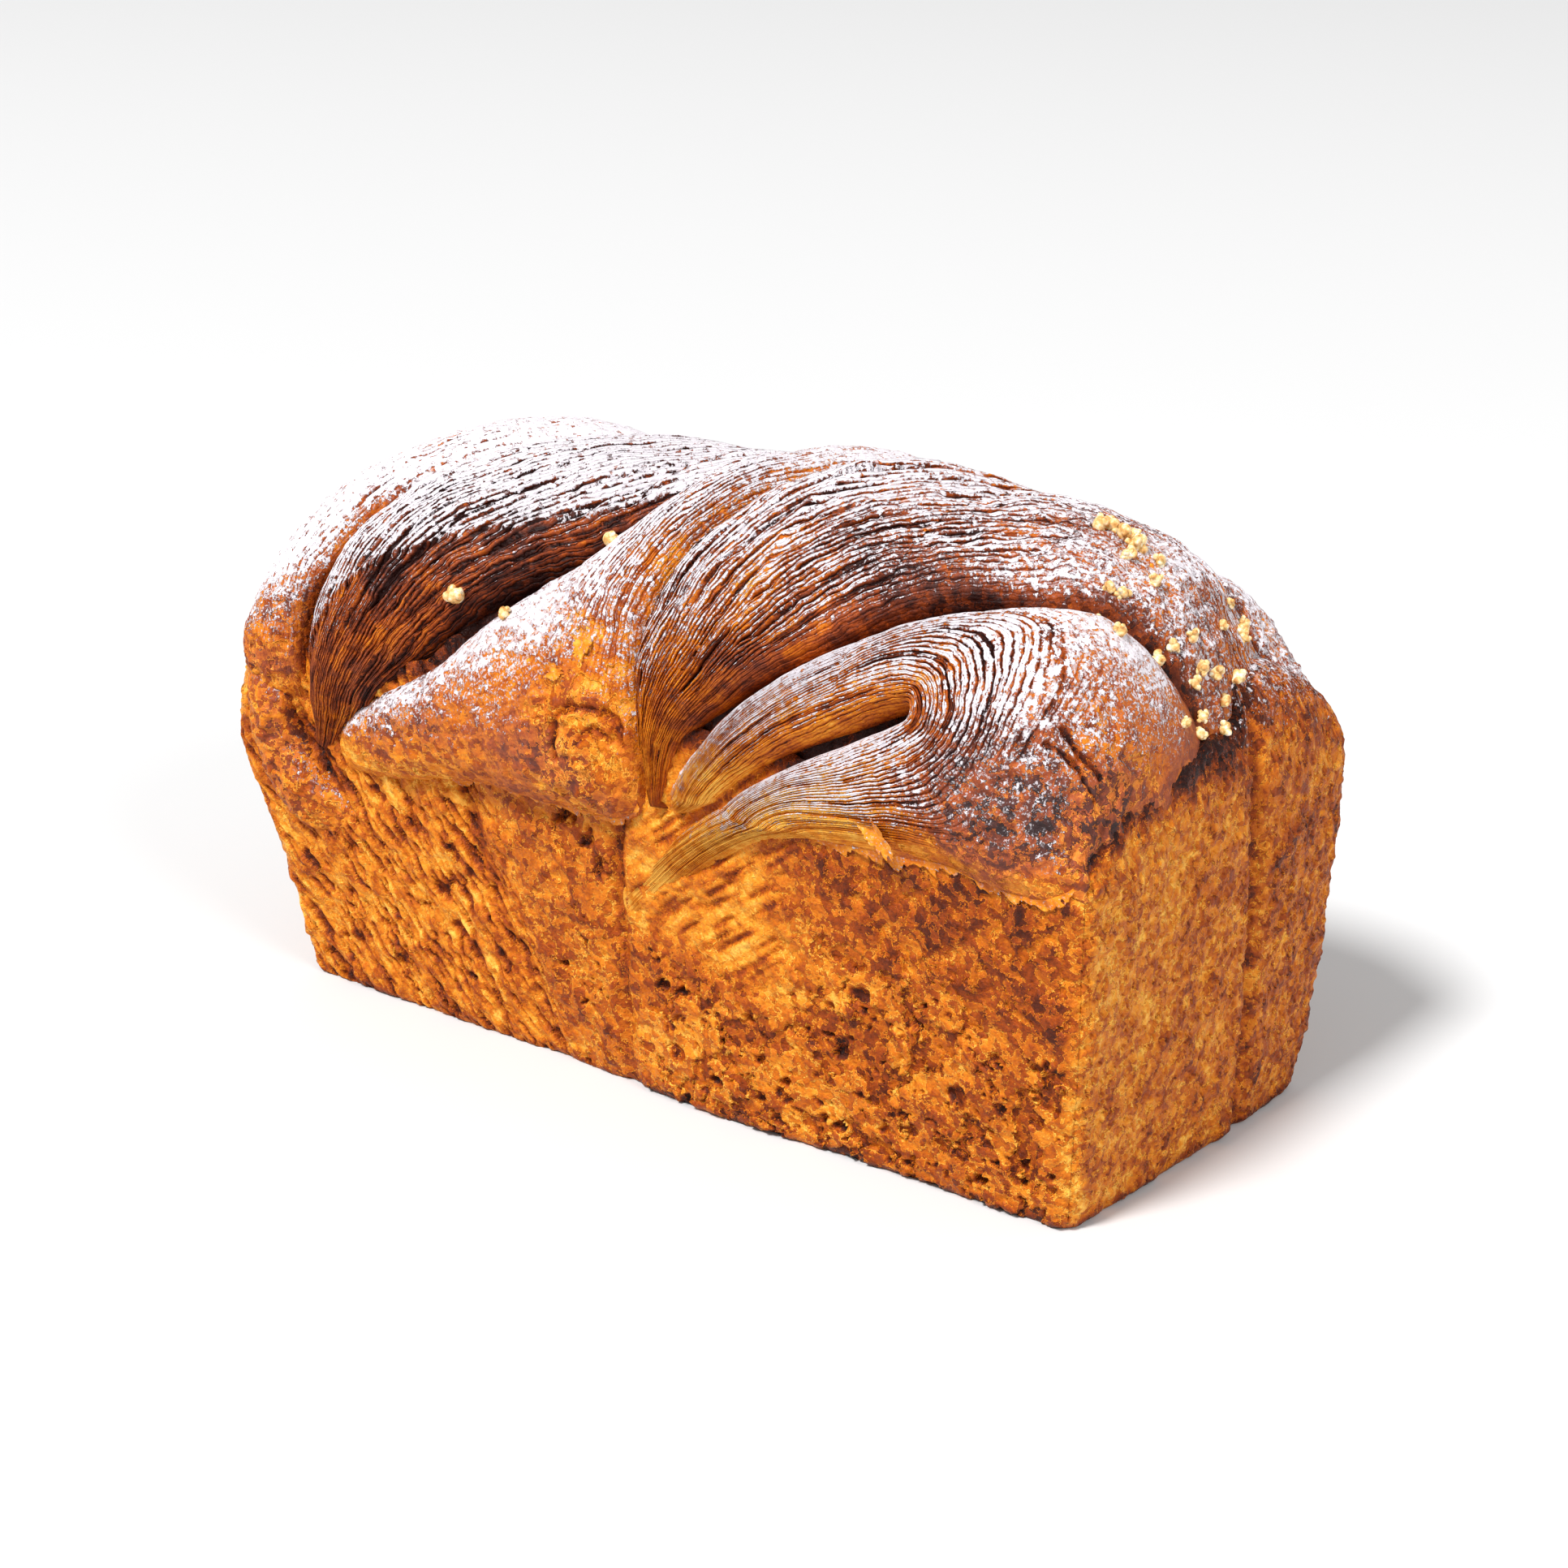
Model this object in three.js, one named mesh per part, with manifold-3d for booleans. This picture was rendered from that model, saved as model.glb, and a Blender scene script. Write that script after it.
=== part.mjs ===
// Laminated brioche loaf, baked in a tapered loaf tin.
// Millimetres, +Z up. X runs along the loaf, -Y is the front long side.
// The loaf is one solid: a tin-shaped crumb with twisted dough lobes rising over
// the rim, each lobe ridged by its lamination, and small sugar crumbs stuck on top.

import * as THREE from 'three';
import { mergeVertices } from 'three/addons/utils/BufferGeometryUtils.js';
import Module from 'manifold-3d';

const wasm = await Module();
wasm.setup();

// ---- Driving sizes of the tin-shaped body -------------------------------------

const rimHeight = 73.5;
const baseHalfLength = 104;
const baseHalfWidth = 43.5;
const rimHalfLength = 110.5;
const rimHalfWidth = 51;
const tinCornerRadius = 4.5;
const bottomEdgeRadius = 1.6;

// Height of the dough along the loaf, before the lobes' own crowns: [x, height].
const crestStations = [[-113, 121], [-66, 123], [-43, 122], [-20, 121.5], [0, 126], [28, 127], [52, 123],
  [75, 124.5], [92, 128], [113, 120]];

// Roundness of the dome: higher is squarer.
const sectionPower = 2.35;
const lengthPower = 5;
const lengthRoot = 2.4;

// The crumb under the lobes lies this far inside the skin they are built on.
const crumbInset = 6;

// ---- The skin ------------------------------------------------------------------
// A place on the loaf is (x, turn). A turn of 0 to 180 is an angle over the dome from
// the front rim to the back rim. Below 0 it is millimetres down the front wall, and
// above 180 it is millimetres down the back wall.

function stationHeight(stations, x) {
  for (let i = 1; i < stations.length; i += 1) {
    const [x0, h0] = stations[i - 1];
    const [x1, h1] = stations[i];
    if (x <= x1) {
      return THREE.MathUtils.mapLinear(Math.max(x, x0), x0, x1, h0, h1);
    }
  }
  return stations[stations.length - 1][1];
}

function domeHeight(x) {
  const reach = Math.min(Math.abs(x) / rimHalfLength, 1);
  const fade = (1 - reach ** lengthPower) ** (1 / lengthRoot);
  return (stationHeight(crestStations, x) - rimHeight) * fade;
}

function skinPoint(x, turn) {
  const angle = THREE.MathUtils.degToRad(THREE.MathUtils.clamp(turn, 0, 180));
  const cosine = Math.cos(angle);
  const down = Math.max(-turn, turn - 180, 0);
  const taper = down / rimHeight;
  const side = -Math.sign(cosine) * Math.abs(cosine) ** (2 / sectionPower);
  const rise = Math.abs(Math.sin(angle)) ** (2 / sectionPower);
  return new THREE.Vector3(
    x * (1 - taper * (1 - baseHalfLength / rimHalfLength)),
    side * (rimHalfWidth - taper * (rimHalfWidth - baseHalfWidth)),
    rimHeight - down + domeHeight(x) * rise,
  );
}

function skinNormal(x, turn) {
  const step = 0.4;
  const inside = rimHalfLength - 2 * step;
  const xs = THREE.MathUtils.clamp(x, -inside, inside);
  const along = skinPoint(xs + step, turn).sub(skinPoint(xs - step, turn));
  const around = skinPoint(xs, turn + step).sub(skinPoint(xs, turn - step));
  return along.cross(around).normalize();
}

function onSkin(x, turn, lift) {
  return skinPoint(x, turn).addScaledVector(skinNormal(x, turn), lift);
}

// ---- Meshes and solids -----------------------------------------------------------

function geometryFrom(points, triangles) {
  const geometry = new THREE.BufferGeometry();
  geometry.setAttribute('position', new THREE.Float32BufferAttribute(points.flatMap((p) => p.toArray()), 3));
  geometry.setIndex(triangles.flat());
  return geometry;
}

function solidFrom(geometry) {
  geometry.deleteAttribute('normal');
  geometry.deleteAttribute('uv');
  const merged = mergeVertices(geometry, 1e-4);
  return new wasm.Manifold(new wasm.Mesh({
    numProp: 3,
    vertProperties: new Float32Array(merged.attributes.position.array),
    triVerts: new Uint32Array(merged.index.array),
  }));
}

// Slivers thinner than this, left where lobes cross, are merged away.
const mendTolerance = 0.12;

// Keeps the outer surface alone: hollows that joining sealed are filled, scraps dropped.
function wholeLoaf(solid) {
  return solid.decompose().reduce((best, piece) => (piece.volume() > best.volume() ? piece : best));
}

// The same small random sequence on every run.
function randomSequence(seed) {
  let state = seed;
  return () => {
    state = (state * 16807) % 2147483647;
    return state / 2147483647;
  };
}

// ---- Tin-shaped crumb ---------------------------------------------------------------

// Outline of the tin in plan: a rectangle with round corners, as [x, y] pairs.
const outlineSide = 36;
const outlineEnd = 14;
const outlineCorner = 4;

function tinOutline(halfLength, halfWidth, radius) {
  const points = [];
  const corners = [[1, -1, -90], [1, 1, 0], [-1, 1, 90], [-1, -1, 180]];
  corners.forEach(([sx, sy, start], index) => {
    const cx = sx * (halfLength - radius);
    const cy = sy * (halfWidth - radius);
    for (let i = 0; i < outlineCorner; i += 1) {
      const angle = THREE.MathUtils.degToRad(start + (90 * i) / outlineCorner);
      points.push([cx + radius * Math.cos(angle), cy + radius * Math.sin(angle)]);
    }
    const steps = index % 2 === 0 ? outlineEnd : outlineSide;
    const angle = THREE.MathUtils.degToRad(start + 90);
    const from = [cx + radius * Math.cos(angle), cy + radius * Math.sin(angle)];
    const [nx, ny] = corners[(index + 1) % 4];
    const to = [
      nx * (halfLength - radius) + radius * Math.cos(angle),
      ny * (halfWidth - radius) + radius * Math.sin(angle),
    ];
    for (let i = 0; i < steps; i += 1) {
      points.push([
        THREE.MathUtils.lerp(from[0], to[0], i / steps),
        THREE.MathUtils.lerp(from[1], to[1], i / steps),
      ]);
    }
  });
  return points;
}

// Creases where two lobes meet on the walls: x at the rim, x at the base, depth, half width.
const frontCreases = [[-52, -28, 2.2, 7], [-4, -6.5, 3, 3.2], [60, 66, 1, 10]];
const backCreases = [[-36, -44, 2.2, 6], [22, 30, 3, 4], [64, 60, 1.5, 8]];
// Creases of the two end walls: y at the rim, y at the base, depth, half width.
const rightCreases = [[12, 16, 3.2, 3.4]];
const leftCreases = [[-14, -8, 2.5, 4], [26, 22, 2, 6]];

// Places where the dough pushed out past the tin's plane: place along the wall, height,
// reach along, reach up, how far out.
const frontSwells = [[18, 6, 26, 24, 2.2]];
const rightSwells = [[18, 4, 48, 44, 3.2]];
const leftSwells = [[-38, 58, 24, 19, 9.5]];

function swellOut(swells, place, z) {
  return swells.reduce((sum, [at, height, along, up, out]) => {
    const away = ((place - at) / along) ** 2 + ((z - height) / up) ** 2;
    return sum + out * Math.exp(-away);
  }, 0);
}

function creaseDepth(creases, place, share) {
  return creases.reduce((sum, [atRim, atBase, depth, width]) => {
    const offset = (place - THREE.MathUtils.lerp(atBase, atRim, share)) / width;
    return sum + depth * Math.exp(-offset * offset * 3);
  }, 0);
}

function wallPoint(x, y, z) {
  const share = z / rimHeight;
  const nearEnd = THREE.MathUtils.smoothstep(Math.abs(x), baseHalfLength - 10, baseHalfLength - 2);
  const nearSide = THREE.MathUtils.smoothstep(Math.abs(y), baseHalfWidth - 8, baseHalfWidth - 1);
  const sideDepth = creaseDepth(y < 0 ? frontCreases : backCreases, x, share)
    - (y < 0 ? swellOut(frontSwells, x, z) : 0);
  const endDepth = creaseDepth(x > 0 ? rightCreases : leftCreases, y, share)
    - swellOut(x > 0 ? rightSwells : leftSwells, y, z);
  const belly = 1.2 * Math.sin(Math.PI * share);
  return new THREE.Vector3(
    x - Math.sign(x) * (endDepth - belly) * nearEnd,
    y - Math.sign(y) * (sideDepth - belly) * nearSide,
    z,
  );
}

function crumbSolid() {
  const points = [];
  const triangles = [];
  const wallHeights = [0, bottomEdgeRadius, 20, 36, 48, 60, rimHeight];
  const domeShares = [0.97, 0.88, 0.66, 0.33];
  const rows = [];
  wallHeights.forEach((z) => {
    const share = z / rimHeight;
    const tuck = z === 0 ? bottomEdgeRadius * 0.6 : 0;
    const outline = tinOutline(
      THREE.MathUtils.lerp(baseHalfLength, rimHalfLength, share) - tuck,
      THREE.MathUtils.lerp(baseHalfWidth, rimHalfWidth, share) - tuck,
      tinCornerRadius,
    );
    rows.push(outline.map(([x, y]) => wallPoint(x, y, z)));
  });
  const rim = rows[rows.length - 1];
  domeShares.forEach((shrink) => {
    rows.push(rim.map((p) => {
      const x = p.x * shrink;
      const y = p.y * shrink;
      const across = Math.min(Math.abs(y) / rimHalfWidth, 1);
      const rise = domeHeight(x) * (1 - across ** sectionPower) ** (1 / sectionPower);
      return new THREE.Vector3(x, y, rimHeight + Math.max(rise - crumbInset, 0.5));
    }));
  });
  rows.forEach((row) => points.push(...row));
  const count = rim.length;
  for (let r = 0; r + 1 < rows.length; r += 1) {
    for (let i = 0; i < count; i += 1) {
      const j = (i + 1) % count;
      const a = r * count + i;
      const b = r * count + j;
      triangles.push([a, b, b + count], [a, b + count, a + count]);
    }
  }
  const top = points.length;
  points.push(new THREE.Vector3(0, 0, rimHeight + domeHeight(0) - crumbInset));
  const bottom = points.length;
  points.push(new THREE.Vector3(0, 0, 0));
  const last = (rows.length - 1) * count;
  for (let i = 0; i < count; i += 1) {
    const j = (i + 1) % count;
    triangles.push([last + i, last + j, top]);
    triangles.push([j, i, bottom]);
  }
  return solidFrom(geometryFrom(points, triangles));
}

// ---- Dough lobes -----------------------------------------------------------------

// A lobe lies between two edge lines on the skin, both given from its tip on as
// [x, turn]. Across it the dough rises from one groove to a crown and back, and the
// lamination leaves ridges that run the way of the edges.
//   crown      height of the lobe above the skin at each edge station
//   edgeLift   lift above the skin at the lower and at the upper edge
//   ridges     how many lamination ridges stand across the lobe
//   ridgeLift  height of a ridge
//   skew       below 1 it moves the crown towards the lower edge
//   softOuter  lets the dough fall gently to the upper edge
const grooveLift = -8;
const profilePower = 2.4;
const softPower = 2.6;

function splineThrough(stations) {
  return new THREE.SplineCurve(stations.map(([x, turn]) => new THREE.Vector2(x, turn)));
}

function profileAcross(v, softOuter) {
  const away = 2 * v - 1;
  if (softOuter && away > 0) {
    return 1 - away ** softPower;
  }
  return (1 - Math.abs(away) ** profilePower) ** (1 / profilePower);
}

function lobeSolid(lobe) {
  const { low, high, crown, along = 20, across = 16, ridges = 0, ridgeLift = 0 } = lobe;
  const { edgeLift = [grooveLift, grooveLift], skew = 1, softOuter = false } = lobe;
  const lowEdge = splineThrough(low);
  const highEdge = splineThrough(high);
  const crownLine = splineThrough(crown.map((height, i) => [i / (crown.length - 1), height]));
  const limit = rimHalfLength - 0.4;
  const points = [];
  const triangles = [];
  for (let i = 0; i <= along; i += 1) {
    const u = i / along;
    const from = lowEdge.getPoint(u);
    const to = highEdge.getPoint(u);
    const height = crownLine.getPoint(u).y;
    for (let k = 0; k <= across; k += 1) {
      const v = k / across;
      const x = THREE.MathUtils.lerp(from.x, to.x, v);
      const turn = THREE.MathUtils.lerp(from.y, to.y, v);
      const edge = THREE.MathUtils.lerp(edgeLift[0], edgeLift[1], v);
      const bulge = profileAcross(v ** skew, softOuter);
      const ridge = ridgeLift * bulge * Math.sin(Math.PI * u) ** 0.6 * Math.cos(2 * Math.PI * ridges * v);
      const lift = edge + (height - edge) * bulge + ridge;
      points.push(onSkin(THREE.MathUtils.clamp(x, -limit, limit), turn, lift));
    }
  }
  const row = across + 1;
  for (let i = 0; i < along; i += 1) {
    for (let k = 0; k < across; k += 1) {
      const a = i * row + k;
      triangles.push([a, a + row, a + row + 1], [a, a + row + 1, a + 1]);
    }
  }
  // Under its surface the lobe closes to a point inside the crumb.
  const root = points.length;
  const middle = points.reduce((sum, p) => sum.add(p), new THREE.Vector3()).divideScalar(points.length);
  points.push(new THREE.Vector3(middle.x * 0.9, middle.y * 0.3, rimHeight * 0.75));
  const border = [];
  for (let k = 0; k < across; k += 1) border.push(k);
  for (let i = 0; i < along; i += 1) border.push(i * row + across);
  for (let k = across; k > 0; k -= 1) border.push(along * row + k);
  for (let i = along; i > 0; i -= 1) border.push(i * row);
  border.forEach((a, n) => {
    triangles.push([a, border[(n + 1) % border.length], root]);
  });
  return solidFrom(geometryFrom(points, triangles));
}

// Lines where neighbouring lobes meet, from the front wall up and over the dome.
const leftCrease = [[-92.5, -10], [-92.5, 5], [-92.5, 25], [-89.5, 45], [-82.5, 60], [-72.5, 76],
  [-61.5, 96], [-47.5, 125], [-37.5, 155], [-31.5, 190]];
const longGroove = [[-86.5, -14], [-72.5, 0], [-58.5, 12], [-47.5, 25], [-34.5, 39], [-20.5, 54],
  [-8.5, 74], [4.5, 108], [16.5, 145], [26.5, 190]];
const rightGroove = [[8.5, -3], [14.5, 9], [27.5, 21], [42.5, 36], [54.5, 50], [68.5, 61], [82.5, 68],
  [94.5, 77], [104.5, 88], [109.5, 94]];
const topGroove = [[6.5, -4], [2.5, 9], [-1.5, 22], [-0.5, 38], [2.5, 55], [8.5, 75], [18.5, 97],
  [38.5, 116], [74.5, 126], [109.5, 132]];

const lobes = [
  // Left end, a smooth roll that runs over to the back.
  {
    low: leftCrease,
    high: [[-109, -10], [-110, 5], [-110, 25], [-110, 45], [-110, 60], [-110, 80], [-110, 100],
      [-110, 130], [-110, 160], [-110, 190]],
    crown: [4, 7, 8, 9, 8, 6, 4, 0.5],
    edgeLift: [grooveLift, 0.8],
    ridges: 5,
    ridgeLift: 0.5,
  },
  // Folded flap at the front left corner.
  {
    low: [[-109, -14], [-102, -24], [-92.5, -29], [-83.5, -30]],
    high: [[-109, 4], [-99.5, -2], [-90.5, -12], [-81.5, -22]],
    crown: [2, 4, 4, 1],
    edgeLift: [0.6, grooveLift],
    along: 14,
    across: 10,
  },
  // Laminated roll that climbs from the front left corner over to the back.
  {
    low: longGroove,
    high: leftCrease,
    crown: [3, 6, 8, 9, 8, 5, 3, 0.5],
    ridges: 6,
    ridgeLift: 0.9,
    across: 24,
  },
  // Middle roll with its smooth skin and the overhanging lower edge.
  {
    low: [[-87.5, -20], [-65.5, -15], [-41.5, -12], [-17.5, -12], [3.5, -9], [5.5, 10], [1.5, 30],
      [4.5, 58], [12.5, 84], [26.5, 118], [48.5, 190]],
    high: [[-85.5, -13], [-69.5, 1], [-55.5, 12], [-43.5, 26], [-33.5, 38], [-24.5, 48], [-14.5, 62],
      [-5.5, 80], [6.5, 112], [16.5, 145], [26.5, 190]],
    crown: [2, 6, 8, 10, 9, 8, 7, 5, 0.5],
    ridges: 4,
    ridgeLift: 0.5,
  },
  // Fan of layers that rises from the middle of the front and turns along the top.
  {
    low: rightGroove,
    high: topGroove,
    crown: [2, 5, 7, 9, 9, 6, -2],
    edgeLift: [grooveLift, -3],
    ridges: 7,
    ridgeLift: 0.9,
    across: 28,
  },
  // Back right roll.
  {
    low: [[24.5, 104], [36.5, 114], [54.5, 121], [78.5, 126], [109.5, 130]],
    high: [[44.5, 190], [58.5, 190], [74.5, 190], [92.5, 190], [109.5, 190]],
    crown: [1, 5, 7, 4.5, -3],
    edgeLift: [-3, -2],
    ridges: 4,
    ridgeLift: 0.5,
  },
  // Front right roll, folded back on itself round a small eye.
  {
    low: [[14.5, -5], [23.5, 0], [39.5, 12], [54.5, 24], [64.5, 32], [65.5, 29], [63.5, 26], [53.5, 17],
      [39.5, 9], [18.5, -3], [2.5, -16]],
    high: [[10.5, 1], [29.5, 23], [58.5, 52], [86.5, 69], [109.5, 84], [109.5, 40], [109.5, 0],
      [77.5, -1], [42.5, -2], [18.5, -10], [-2.5, -24]],
    crown: [2, 6, 7, 8, 9, 8, 7, 5, 4, 2],
    edgeLift: [grooveLift, -1],
    ridges: 6,
    ridgeLift: 0.8,
    along: 44,
    across: 24,
    skew: 0.8,
    softOuter: true,
  },
];

// ---- Sugar crumbs ---------------------------------------------------------------

// Where crumbs lie: middle [x, turn], spread [x, turn], how many, mean radius.
const crumbPatches = [
  { at: [-48.5, 30], spread: [0, 0], count: 1, radius: 2.3 },
  { at: [-15.5, 52], spread: [0, 0], count: 1, radius: 1.8 },
  { at: [-31.5, 30], spread: [7, 2], count: 2, radius: 1.3 },
  { at: [80.5, 91], spread: [4, 3], count: 5, radius: 1.9 },
  { at: [91.5, 79], spread: [9, 13], count: 10, radius: 1.5 },
  { at: [105, 86], spread: [3, 9], count: 8, radius: 1.5 },
  { at: [99, 110], spread: [7, 13], count: 7, radius: 1.4 },
  { at: [20, 135], spread: [60, 22], count: 8, radius: 1.4 },
];

const crumbRandom = randomSequence(71);

function sugarCrumb(loaf, x, turn, radius) {
  // A ray down the skin's normal finds the dough's surface under the crumb.
  const normal = skinNormal(x, turn);
  const start = onSkin(x, turn, 20);
  const hit = new THREE.Raycaster(start, normal.clone().negate()).intersectObject(loaf)[0];
  const centre = hit.point.addScaledVector(normal, radius * 0.35);
  const geometry = new THREE.IcosahedronGeometry(radius, 0);
  const position = geometry.attributes.position;
  const stretch = new THREE.Vector3(1.1, 0.9, 0.9);
  for (let i = 0; i < position.count; i += 1) {
    position.setXYZ(
      i,
      centre.x + position.getX(i) * stretch.x,
      centre.y + position.getY(i) * stretch.y,
      centre.z + position.getZ(i) * stretch.z,
    );
  }
  return solidFrom(geometry);
}

function meshOf(solid, material) {
  const { vertProperties, triVerts } = solid.getMesh();
  const geometry = new THREE.BufferGeometry();
  geometry.setAttribute('position', new THREE.Float32BufferAttribute(vertProperties, 3));
  geometry.setIndex(Array.from(triVerts));
  geometry.computeVertexNormals();
  return new THREE.Mesh(geometry, material);
}

const crustMaterial = new THREE.MeshStandardMaterial({ color: '#a8642c', roughness: 0.7, metalness: 0 });

let dough = crumbSolid();
lobes.forEach((lobe) => {
  dough = dough.add(lobeSolid(lobe));
});
dough = wholeLoaf(dough.simplify(mendTolerance));
const bareLoaf = meshOf(dough, crustMaterial);
crumbPatches.forEach(({ at, spread, count, radius }) => {
  for (let i = 0; i < count; i += 1) {
    const x = at[0] + spread[0] * (2 * crumbRandom() - 1);
    const turn = at[1] + spread[1] * (2 * crumbRandom() - 1);
    const size = radius * (0.8 + 0.4 * crumbRandom());
    dough = dough.add(sugarCrumb(bareLoaf, x, turn, size));
  }
});

const loaf = meshOf(wholeLoaf(dough.simplify(mendTolerance)), crustMaterial);
loaf.name = 'loaf';

// The origin is the middle of the base, under the middle of the whole loaf.
loaf.geometry.computeBoundingBox();
const { min, max } = loaf.geometry.boundingBox;
loaf.position.set(-(min.x + max.x) / 2, -(min.y + max.y) / 2, -min.z);

const brioche = new THREE.Group();
brioche.add(loaf);

export default brioche;
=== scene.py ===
# Laminated brioche loaf: tin-formed walls, twisted layered lobes, sugar crumbs and icing sugar.
# Sizes are millimetres in the loaf's own frame, turned to metres where a mesh is made.
import itertools
import math

import bpy
import numpy as np
from mathutils import Matrix, Vector


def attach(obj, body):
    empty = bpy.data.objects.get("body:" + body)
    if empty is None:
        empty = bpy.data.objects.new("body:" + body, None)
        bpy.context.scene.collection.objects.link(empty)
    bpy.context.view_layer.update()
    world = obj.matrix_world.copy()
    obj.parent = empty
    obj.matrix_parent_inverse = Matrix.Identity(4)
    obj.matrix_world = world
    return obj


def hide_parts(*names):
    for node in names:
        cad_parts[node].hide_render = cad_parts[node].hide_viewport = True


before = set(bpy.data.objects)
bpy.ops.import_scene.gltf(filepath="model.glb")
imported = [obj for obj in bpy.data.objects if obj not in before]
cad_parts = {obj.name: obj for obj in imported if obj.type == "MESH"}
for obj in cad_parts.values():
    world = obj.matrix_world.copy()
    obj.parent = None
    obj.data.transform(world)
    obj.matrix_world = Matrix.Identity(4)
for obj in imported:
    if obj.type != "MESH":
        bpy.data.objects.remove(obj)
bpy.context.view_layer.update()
print("frame loaded")

loafSizes = {
    # the tin-formed part, and the crest of the dome as (x, height)
    "rimHeight": 73.5,
    "baseHalfLength": 104.0,
    "baseHalfWidth": 43.5,
    "rimHalfLength": 110.5,
    "rimHalfWidth": 51.0,
    "cornerRadius": 4.5,
    "bottomRadius": 1.6,
    "crest": [(-113, 121), (-66, 123), (-43, 122), (-20, 121.5), (0, 126), (28, 127), (52, 123), (75, 124.5),
              (92, 128), (113, 120)],
    "sectionPower": 2.35,  # how square the dome is across, and how blunt at its ends
    "lengthPower": 5.0,
    "lengthRoot": 2.4,
    # the back right corner of the dome is rounder: how far it leans in, and over which x and y
    "lean": (0.22, 0.1, 0.0),
    "leanAlong": (82, 110),
    "leanAcross": (5, 45),
    "crumbInset": 6.0,  # the crumb between the lobes lies this far inside the skin
    "frameShift": (4.292, 1.572, 0.0),  # from the tin's middle to the middle of the whole loaf
}


def smoothStep(low, high, value):
    t = np.clip((value - low) / (high - low), 0.0, 1.0)
    return t * t * (3.0 - 2.0 * t)


def mix(a, b, t):
    return a + (b - a) * t


def hashed(i, j, k, seed):
    # a repeatable random number from 0 to 1 for each whole-numbered place
    h = (i * 374761393 + j * 668265263 + k * 2147483647 + seed * 1274126177) & 0xFFFFFFFF
    h = ((h ^ (h >> 13)) * 1103515245) & 0xFFFFFFFF
    h = ((h ^ (h >> 16)) * 668265263) & 0xFFFFFFFF
    return ((h ^ (h >> 15)) & 0xFFFFFF) / float(0x1000000)


def valueNoise(points, cell, seed):
    # smooth noise from 0 to 1 with lumps about one cell wide
    q = np.asarray(points, float) / cell
    base = np.floor(q).astype(np.int64)
    f = q - base
    f = f * f * f * (f * (f * 6.0 - 15.0) + 10.0)
    total = 0.0
    for dx, dy, dz in itertools.product((0, 1), repeat=3):
        weight = (f[..., 0] if dx else 1 - f[..., 0]) * (f[..., 1] if dy else 1 - f[..., 1])
        weight = weight * (f[..., 2] if dz else 1 - f[..., 2])
        total = total + weight * hashed(base[..., 0] + dx, base[..., 1] + dy, base[..., 2] + dz, seed)
    return total


def layeredNoise(points, cell, octaves, seed):
    # the same with finer and weaker noise laid over it
    total, scale, size = 0.0, 0.0, 1.0
    for n in range(octaves):
        total = total + size * valueNoise(points, cell / 2 ** n, seed + 13 * n)
        scale += size
        size *= 0.5
    return total / scale


def cellNoise(points, cell, seed):
    # distance to the nearest scattered centre, in cells, and that centre's own random number
    q = np.asarray(points, float) / cell
    base = np.floor(q).astype(np.int64)
    nearest = np.full(q.shape[:-1], 9.0)
    own = np.zeros(q.shape[:-1])
    for step in itertools.product((-1, 0, 1), repeat=3):
        c = base + np.array(step)
        i, j, k = c[..., 0], c[..., 1], c[..., 2]
        centre = c + np.stack([hashed(i, j, k, seed + n) for n in (0, 5, 9)], -1)
        away = np.linalg.norm(q - centre, axis=-1)
        nearer = away < nearest
        nearest = np.where(nearer, away, nearest)
        own = np.where(nearer, hashed(i, j, k, seed + 21), own)
    return nearest, own


# A place on the loaf's skin is (x, turn). Turn 0 to 180 is an angle over the dome, from the front rim to the
# back one, and below 0 and above 180 it is millimetres down a wall.

def domeHeight(x):
    s = loafSizes
    stations = np.array(s["crest"], float)
    crest = np.interp(x, stations[:, 0], stations[:, 1])
    reach = np.clip(np.abs(x) / s["rimHalfLength"], 0, 1)
    return (crest - s["rimHeight"]) * (1 - reach ** s["lengthPower"]) ** (1 / s["lengthRoot"])


def domeRise(points):
    # how far the dome stands over the rim above places given in plan
    s = loafSizes
    across = np.clip(np.abs(points[:, 1]) / s["rimHalfWidth"], 0, 1)
    return domeHeight(points[:, 0]) * (1 - across ** s["sectionPower"]) ** (1 / s["sectionPower"])


def leanIn(p):
    s = loafSizes
    above = np.maximum(p[..., 2:] - s["rimHeight"], 0)
    share = smoothStep(*s["leanAlong"], p[..., :1]) * smoothStep(*s["leanAcross"], p[..., 1:2])
    return p - above * share * np.array(s["lean"])


def skinPoint(x, turn):
    s = loafSizes
    angle = np.radians(np.clip(turn, 0, 180))
    cosine = np.cos(angle)
    down = np.maximum(np.maximum(-turn, turn - 180), 0)
    taper = down / s["rimHeight"]
    side = -np.sign(cosine) * np.abs(cosine) ** (2 / s["sectionPower"])
    rise = np.abs(np.sin(angle)) ** (2 / s["sectionPower"])
    px = x * (1 - taper * (1 - s["baseHalfLength"] / s["rimHalfLength"]))
    py = side * (s["rimHalfWidth"] - taper * (s["rimHalfWidth"] - s["baseHalfWidth"]))
    pz = s["rimHeight"] - down + domeHeight(x) * rise
    return leanIn(np.stack([px, py, pz], -1))


def unit(v):
    return v / np.maximum(np.linalg.norm(v, axis=-1, keepdims=True), 1e-9)


def skinNormal(x, turn):
    step = 0.4  # millimetres along, degrees around
    inside = loafSizes["rimHalfLength"] - 2 * step
    xs = np.clip(x, -inside, inside)
    along = skinPoint(xs + step, turn) - skinPoint(xs - step, turn)
    around = skinPoint(xs, turn + step) - skinPoint(xs, turn - step)
    return unit(np.cross(along, around))


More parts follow.
